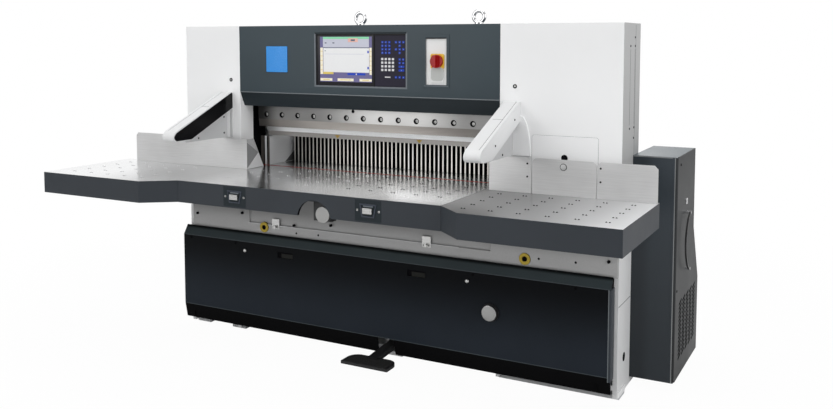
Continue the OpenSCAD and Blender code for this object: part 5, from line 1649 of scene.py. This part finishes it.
@dataclass
class Base:
    """Bed casting, white base, pads and the drive inside it.

    Attributes:
        leg_seam_z: Height of the seam on the right leg.
        leg_hole: Place of the round hole in the right leg, in Y and Z.
        leg_hole_r: Radius of that hole.
        bed_holes: Places of the small holes in the bed, in X and Z.
        studs: Places of the dark studs on the bed, in X and Z.
        step: Both ends in X and the height of the painted highlight along the bed's step.
        latch_xs: Distances of a latch's two screws from its outer end.
    """

    leg_seam_z: float = 418.0
    leg_hole: Pair = (86.0, 172.0)
    leg_hole_r: float = 20.0
    bed_holes: tuple[Pair, ...] = ((380.0, 574.0), (514.0, 578.0), (1679.0, 594.0), (1847.0, 597.0))
    studs: tuple[Pair, ...] = ((-268.0, 621.0), (37.0, 649.0), (368.0, 614.0), (591.0, 636.0),
                               (1992.0, 618.0))
    step: tuple[float, float, float] = (75.0, 1290.0, 600.5)
    latch_xs: Pair = (9.0, 36.0)

    def build(self) -> None:
        """Makes the base from the floor up."""
        soften("floor_pads", [PAD_GREY], 1.5, 2)
        for node in ("base_walls", "base_back", "base_decks", "base_floor"):
            soften(node, [BASE_SHADED_WHITE], 1.2, 2)
        soften("bed", [BED_GREY], 2.0, 3)
        soften("brass_plugs", [BRASS], 1.2, 2)
        soften("bed_latches", [SCREW], 1.2, 2)
        # The uprights are painted near-black as the shade they stand in.
        for node in ("left_upright", "right_upright"):
            soften(node, [SHADE_AND_BLACK], 2.0, 2)
        for node in ("top_beam", "flywheel"):
            soften(node, [DARK_CAST], 2.0, 2)
        soften("gearbox", [CAST_GREY], 2.0, 2)
        soften("main_motor", [CABINET_GREY], 1.2, 2)
        soften("motor_pulley", [BRIGHT], 1.0, 2)
        soften("drive_belt", [BELT], 0.8, 1)
        self._bed_marks()
        self._leg_marks()

    def _bed_marks(self) -> None:
        """Adds the plugs' bores and the bed's holes as dark discs of painted shade, the studs, the painted
        highlight along the bed's step and the latches' screws.
        """
        front = DATUM.box("bed")[0].y
        low, high = DATUM.box("brass_plugs")
        half = (high.z - low.z) / 2.0
        shape = Shape()
        for x in (low.x + half, high.x - half):
            shape.rod((x, low.y + 4.5, low.z + half), Axis.Y, 1.2, half * 0.44, sides=28)
        for x, z in self.bed_holes:
            shape.rod((x, front - 0.25, z), Axis.Y, 1.0, 5.5, sides=18)
        for x, z in self.studs:
            shape.turned([(0.0, 0.5), (7.0, 0.5), (7.0, -8.0), (5.5, -10.0), (0.0, -10.0)],
                         (x, front, z), Axis.Y, 18)
        # The light strip along the step is a painted highlight.
        left, right, level = self.step
        shape.block((left, front - 0.4, level), (right, front + 0.5, level + 3.0), finish=2)
        low, high = DATUM.box("bed_latches")
        near, far = self.latch_xs
        for x in (low.x + near, low.x + far, high.x - far, high.x - near):
            shape.screw((x, front - 4.0, low.z + near), Axis.Y, -1, 6.0, 3.0, finish=1, socket=0)
        shape.piece("bed_details", "frame", [SHADE_AND_BLACK, SCREW, PAD_GREY])

    def _leg_marks(self) -> None:
        """Adds the seam, the round hole as a dark disc of painted shade and the bracket on the right leg's
        side.
        """
        right = DATUM.box("base_walls")[1].x
        y, z = self.leg_hole
        shape = Shape().block((right - 1.0, -18.0, self.leg_seam_z - 1.5),
                              (right + 0.25, 180.0, self.leg_seam_z + 1.5))
        shape.piece("leg_seam", "frame", [SEAM])
        shape = Shape().rod((right - 1.0, y, z), Axis.X, 1.4, self.leg_hole_r, sides=40)
        shape.piece("leg_hole", "frame", [SHADE_AND_BLACK])
        shape = Shape().block((right - 0.5, -16.0, 20.0), (right + 6.0, 96.0, 46.0), 1.5)
        shape.piece("leg_foot_bracket", "frame", [WHITE])


@dataclass
class FrontCover:
    """Dark hinged cover in front of the base, with its studs, screws, knob and end strip.

    Attributes:
        studs: Places of the pale studs, in X and Z.
        dots: Places of the small screws under the top bend.
        end_w: Width of the rounded strip at the right end.
        bends: Heights of the two bends.
        slots: Left sides of the finger slots.
        pocket: Lowest and highest corner of a slot's pocket, from its left side and the top bend.
        lip: Lowest and highest corner of the lip in the pocket, painted less dark than the pocket's shade.
        flange_t: Thickness of the knob's dark flange.
        cap_share: Share of the knob's radius that its cap takes up.
    """

    studs: tuple[Pair, ...] = ((80.0, 461.0), (1351.0, 462.0))
    dots: tuple[float, ...] = (-282.0, 19.0, 1380.0, 1860.0)
    end_w: float = 9.0
    bends: Pair = (508.0, 128.0)
    slots: Pair = (291.0, 1043.0)
    pocket: tuple[Pair, Pair] = ((-4.0, -68.0), (100.0, -26.0))
    lip: tuple[Pair, Pair] = ((22.0, -60.0), (92.0, -38.0))
    flange_t: float = 8.0
    cap_share: float = 0.84

    def build(self) -> None:
        """Makes the cover and what sits on it."""
        soften("front_cover", [COVER_GREY, COVER_TOP_LIT, COVER_FOOT_SHADE], 1.6, 3, pick=self._finish)
        soften("cover_knob", [BLACK, WHEEL], 1.5, 3, pick=self._knob_finish)
        self._studs()
        self._light_end()
        self._bend_lines()
        self._pockets()
        self._knob_cap()

    def _knob_cap(self) -> None:
        """Sets the wide bright cap on the knob's dark flange."""
        low, high = DATUM.box("cover_knob")
        middle = ((low.x + high.x) / 2.0, low.y, (low.z + high.z) / 2.0)
        wide = (high.z - low.z) / 2.0 * self.cap_share
        deep = high.y - self.flange_t + 1.0 - low.y
        cap = [(0.0, -1.0), (wide - 3.0, -1.0), (wide, 1.0), (wide, deep), (0.0, deep)]
        shape = Shape().turned(cap, middle, Axis.Y, 40)
        shape.piece("cover_knob_cap", body_of("cover_knob"), [WHEEL])

    def _knob_finish(self, face: bmesh.types.BMFace) -> int:
        """Finish of a face of the knob: the dark flange behind or the rest."""
        deep = (face.calc_center_median() - DATUM.zero).y / MM
        return 0 if deep > DATUM.box("cover_knob")[1].y - self.flange_t else 1

    def _finish(self, face: bmesh.types.BMFace) -> int:
        """Finish of a face of the cover: its face, its top bend in painted light or its foot bend in painted
        shade.
        """
        height = (face.calc_center_median() - DATUM.zero).z / MM
        if face.normal.z > 0.2:
            return 1
        return 2 if height < self.bends[1] - 3.0 else 0

    def _studs(self) -> None:
        """Adds the pale studs and the row of small dark screws."""
        front = DATUM.box("front_cover")[0].y
        shape = Shape()
        for x, z in self.studs:
            shape.turned([(0.0, 0.5), (9.0, 0.5), (9.0, -1.5), (7.0, -4.0), (3.0, -5.0), (0.0, -5.0)],
                         (x, front, z), Axis.Y, 24)
        for x in self.dots:
            shape.screw((x, front, self.bends[0] - 13.0), Axis.Y, -1, 6.5, 1.4, finish=1)
        shape.piece("cover_studs", body_of("front_cover"), [SCREW, SHADE_AND_BLACK])

    def _light_end(self) -> None:
        """Adds the rounded strip at the cover's right end, with a painted highlight line along its corner."""
        low, high = DATUM.box("front_cover")
        foot, head = self.bends[1] - 20.0, self.bends[0]
        edge = high.x - self.end_w
        shape = Shape().block((edge, low.y - 0.6, foot), (high.x + 1.0, -26.0, head), 3.0, 3)
        shape.block((edge - 3.0, low.y - 0.9, foot), (edge + 1.0, low.y + 1.0, head), 0.5, 1, 1)
        shape.piece("cover_right_end", body_of("front_cover"), [COVER_END, BEND_HIGHLIGHT])

    def _bend_lines(self) -> None:
        """Adds the thin lines along both bends, lighter than the cover as painted highlights."""
        low, high = DATUM.box("front_cover")
        shape = Shape()
        for z in self.bends:
            shape.block((low.x + 3.0, low.y - 0.35, z - 1.8), (high.x - 12.0, low.y + 0.6, z + 1.8), 0.3)
        shape.piece("cover_bend_lines", body_of("front_cover"), [COVER_BEND_HIGHLIGHT])

    def _pockets(self) -> None:
        """Adds the pockets behind the finger slots as near-black painted shade, with their lips in a less
        dark painted shade.
        """
        front, top = DATUM.box("front_cover")[0].y, self.bends[0]
        shape = Shape()
        for x in self.slots:
            for finish, (low, high), near, far in ((0, self.pocket, 4.0, 8.0), (1, self.lip, 3.0, 5.0)):
                shape.block((x + low[0], front + near, top + low[1]),
                            (x + high[0], front + far, top + high[1]), finish=finish)
        shape.piece("cover_pockets", body_of("front_cover"), [SHADE_AND_BLACK, POCKET_SHADE])


@dataclass
class FootPedal:
    """Black pedal that comes out through the cover's notch.

    Attributes:
        rib_pitch: Distance between the ribs of the pad.
        rib_w: Width of a rib.
        rib_h: Height of a rib.
        rib_in: Distance of the ribs from the pad's edge.
        pad_d: Depth of the pad.
        pad_top: Height of the pad's top.
        turn_share: Radius of the pad's rear corners, as a share of its depth.
    """

    rib_pitch: float = 11.0
    rib_w: float = 5.0
    rib_h: float = 2.0
    rib_in: float = 9.0
    pad_d: float = 113.0
    pad_top: float = 66.0
    turn_share: float = 0.48

    def build(self) -> None:
        """Makes the pedal and the ribs on its pad."""
        soften("pedal", [BLACK_METAL], 1.4, 2)
        self._ribs()

    def _ribs(self) -> None:
        """Lays the ribs across the pad, shorter where its rear corners are round."""
        low, high = DATUM.box("pedal")
        middle, half = (low.x + high.x) / 2.0, (high.x - low.x) / 2.0
        front = low.y
        turn = self.pad_d * self.turn_share
        shape = Shape()
        row = front + self.rib_in
        while row < front + self.pad_d - 14.0:
            past = max(0.0, row - (front + self.pad_d - turn))
            long = half - turn + math.sqrt(max(0.0, turn * turn - past * past)) - self.rib_in
            shape.block((middle - long, row - self.rib_w / 2.0, self.pad_top - 0.6),
                        (middle + long, row + self.rib_w / 2.0, self.pad_top + self.rib_h), 0.7, 1)
            row += self.rib_pitch
        shape.piece("pedal_ribs", body_of("pedal"), [RUBBER])


@dataclass
class Cabinet:
    """Grey side cabinet with its vented door, bow handle, lock and painted highlights along its edges.

    Attributes:
        lock: Place of the lock on the door, in Y and Z.
        plugs: Places of the door's plugged holes, in Y and Z.
        handle_r: Radius of the handle's bar.
        vents: Lowest and highest corner of the field of vents, in Y and Z.
        mouth: Length and height of a vent's dark mouth, a black sheet of painted shade larger than the slot.
        first: Middle of the first mouth, in Y and Z.
        pitch: Distances between the mouths, along a row and upwards.
        count: Number of mouths along a row and of rows.
        slant: Slant of the vents, in degrees.
    """

    lock: Pair = (387.0, 829.0)
    plugs: tuple[Pair, ...] = ((246.0, 1011.0), (214.0, 456.0))
    handle_r: float = 5.6
    vents: tuple[Pair, Pair] = ((206.0, 72.0), (690.0, 560.0))
    mouth: Pair = (60.0, 12.0)
    first: Pair = (298.2, 139.9)
    pitch: Pair = (78.0, 19.0)
    count: tuple[int, int] = (5, 14)
    slant: float = 14.0

    def build(self) -> None:
        """Makes the cabinet, the door and its fittings."""
        # Upward faces get the lighter copy of the paint as painted light.
        soften("cabinet", [CABINET_GREY, CABINET_TOP_LIT], 2.0, 3,
               pick=lambda face: 1 if face.normal.z > 0.7 else 0)
        soften("cabinet_door", [DOOR_GREY, SHADE_AND_BLACK], 0.7, 1, pick=self._door_finish)
        soften("door_handle", [BLACK_METAL], 0.8, 2)
        soften("door_pins", [BRIGHT], 0.4, 1)
        soften("cable_gland", [BLACK], 1.0, 2)
        self._fittings()
        self._mouths()
        self._edges()

    def _door_finish(self, face: bmesh.types.BMFace) -> int:
        """Finish of a face of the door: its sheet, or the inside of a vent in near-black painted shade."""
        place = (face.calc_center_median() - DATUM.zero) / MM
        low, high = self.vents
        inside = low[0] < place.y < high[0] and low[1] < place.z < high[1]
        return 1 if inside and abs(face.normal.x) < 0.95 else 0

    @staticmethod
    def _edges() -> None:
        """Adds the corner strip beside the door's hinge and the painted highlight lines along the front's
        edges.
        """
        low, high = DATUM.box("cabinet")
        corner = DATUM.box("cabinet_door")[0].x + 6.0
        front, foot, top = low.y, low.z + 2.0, high.z - 2.0
        shape = Shape().block((corner - 14.0, front - 0.8, foot), (corner, front + 0.2, top), 0.3, 1)
        shape.block((corner - 4.0, front - 1.2, foot), (corner, front, top), 0.3, 1, 1)
        shape.block((low.x + 2.0, front - 0.5, top - 3.0), (corner - 3.0, front + 0.5, top + 1.0), 0.2, 1, 1)
        shape.piece("cabinet_edges", "frame", [CABINET_GREY, EDGE_HIGHLIGHT])

    def _fittings(self) -> None:
        """Adds the lock, the plugs and the handle's end sleeves."""
        right = DATUM.box("cabinet_door")[1].x
        shape = Shape()
        shape.turned([(0.0, -0.5), (15.0, -0.5), (15.0, 2.5), (13.0, 4.0), (9.5, 4.0), (9.0, 2.8),
                      (0.0, 2.8)], (right, *self.lock), Axis.X, 32)
        y, z = self.lock
        shape.block((right + 2.4, y - 1.6, z - 6.0), (right + 3.2, y + 1.6, z + 6.0), finish=1)
        for y, z in self.plugs:
            shape.screw((right, y, z), Axis.X, 1, 6.0, 1.5, finish=1)
        low, high = DATUM.box("door_handle")
        thick = self.handle_r
        for z in (low.z + thick, high.z - thick):
            shape.rod((right - 0.2, high.y - thick, z), Axis.X, high.x - right + 0.8, thick + 1.0, sides=24)
        shape.piece("door_fittings", body_of("cabinet_door"), [BRIGHT, SHADE_AND_BLACK])

    def _mouths(self) -> None:
        """Lays black sheets on the door as the vents' dark mouths, in painted shade."""
        right = DATUM.box("cabinet_door")[1].x
        tilt = Matrix.Rotation(math.radians(self.slant), 2)
        shape = Shape()
        for column in range(self.count[0]):
            for row in range(self.count[1]):
                middle = Vector((self.first[0] + self.pitch[0] * column, self.first[1] + self.pitch[1] * row))
                corners = [middle + tilt @ Vector((a * self.mouth[0], b * self.mouth[1]))
                           for a, b in ((-0.5, -0.5), (0.5, -0.5), (0.5, 0.5), (-0.5, 0.5))]
                shape.sheet([tuple(corner) for corner in corners], Axis.X, right - 0.4, right + 0.2)
        shape.piece("vent_painted_shade", body_of("cabinet_door"), [SHADE_AND_BLACK])


def main() -> None:
    """Builds the stage and the sub-assemblies, in order."""
    logging.basicConfig(level=logging.INFO, format="%(message)s")
    bpy.context.scene.view_settings.view_transform = "Standard"
    Stage().build()
    for part in (Base(), Columns(), Hood(), ControlPanel(), MainSwitch(), Arms(), GuideWalls(), Tables(),
                 CutStations(), KnifeAndClamp(), Backgauge(), FrontCover(), FootPedal(), Cabinet()):
        part.build()


if __name__ == "__main__":
    main()
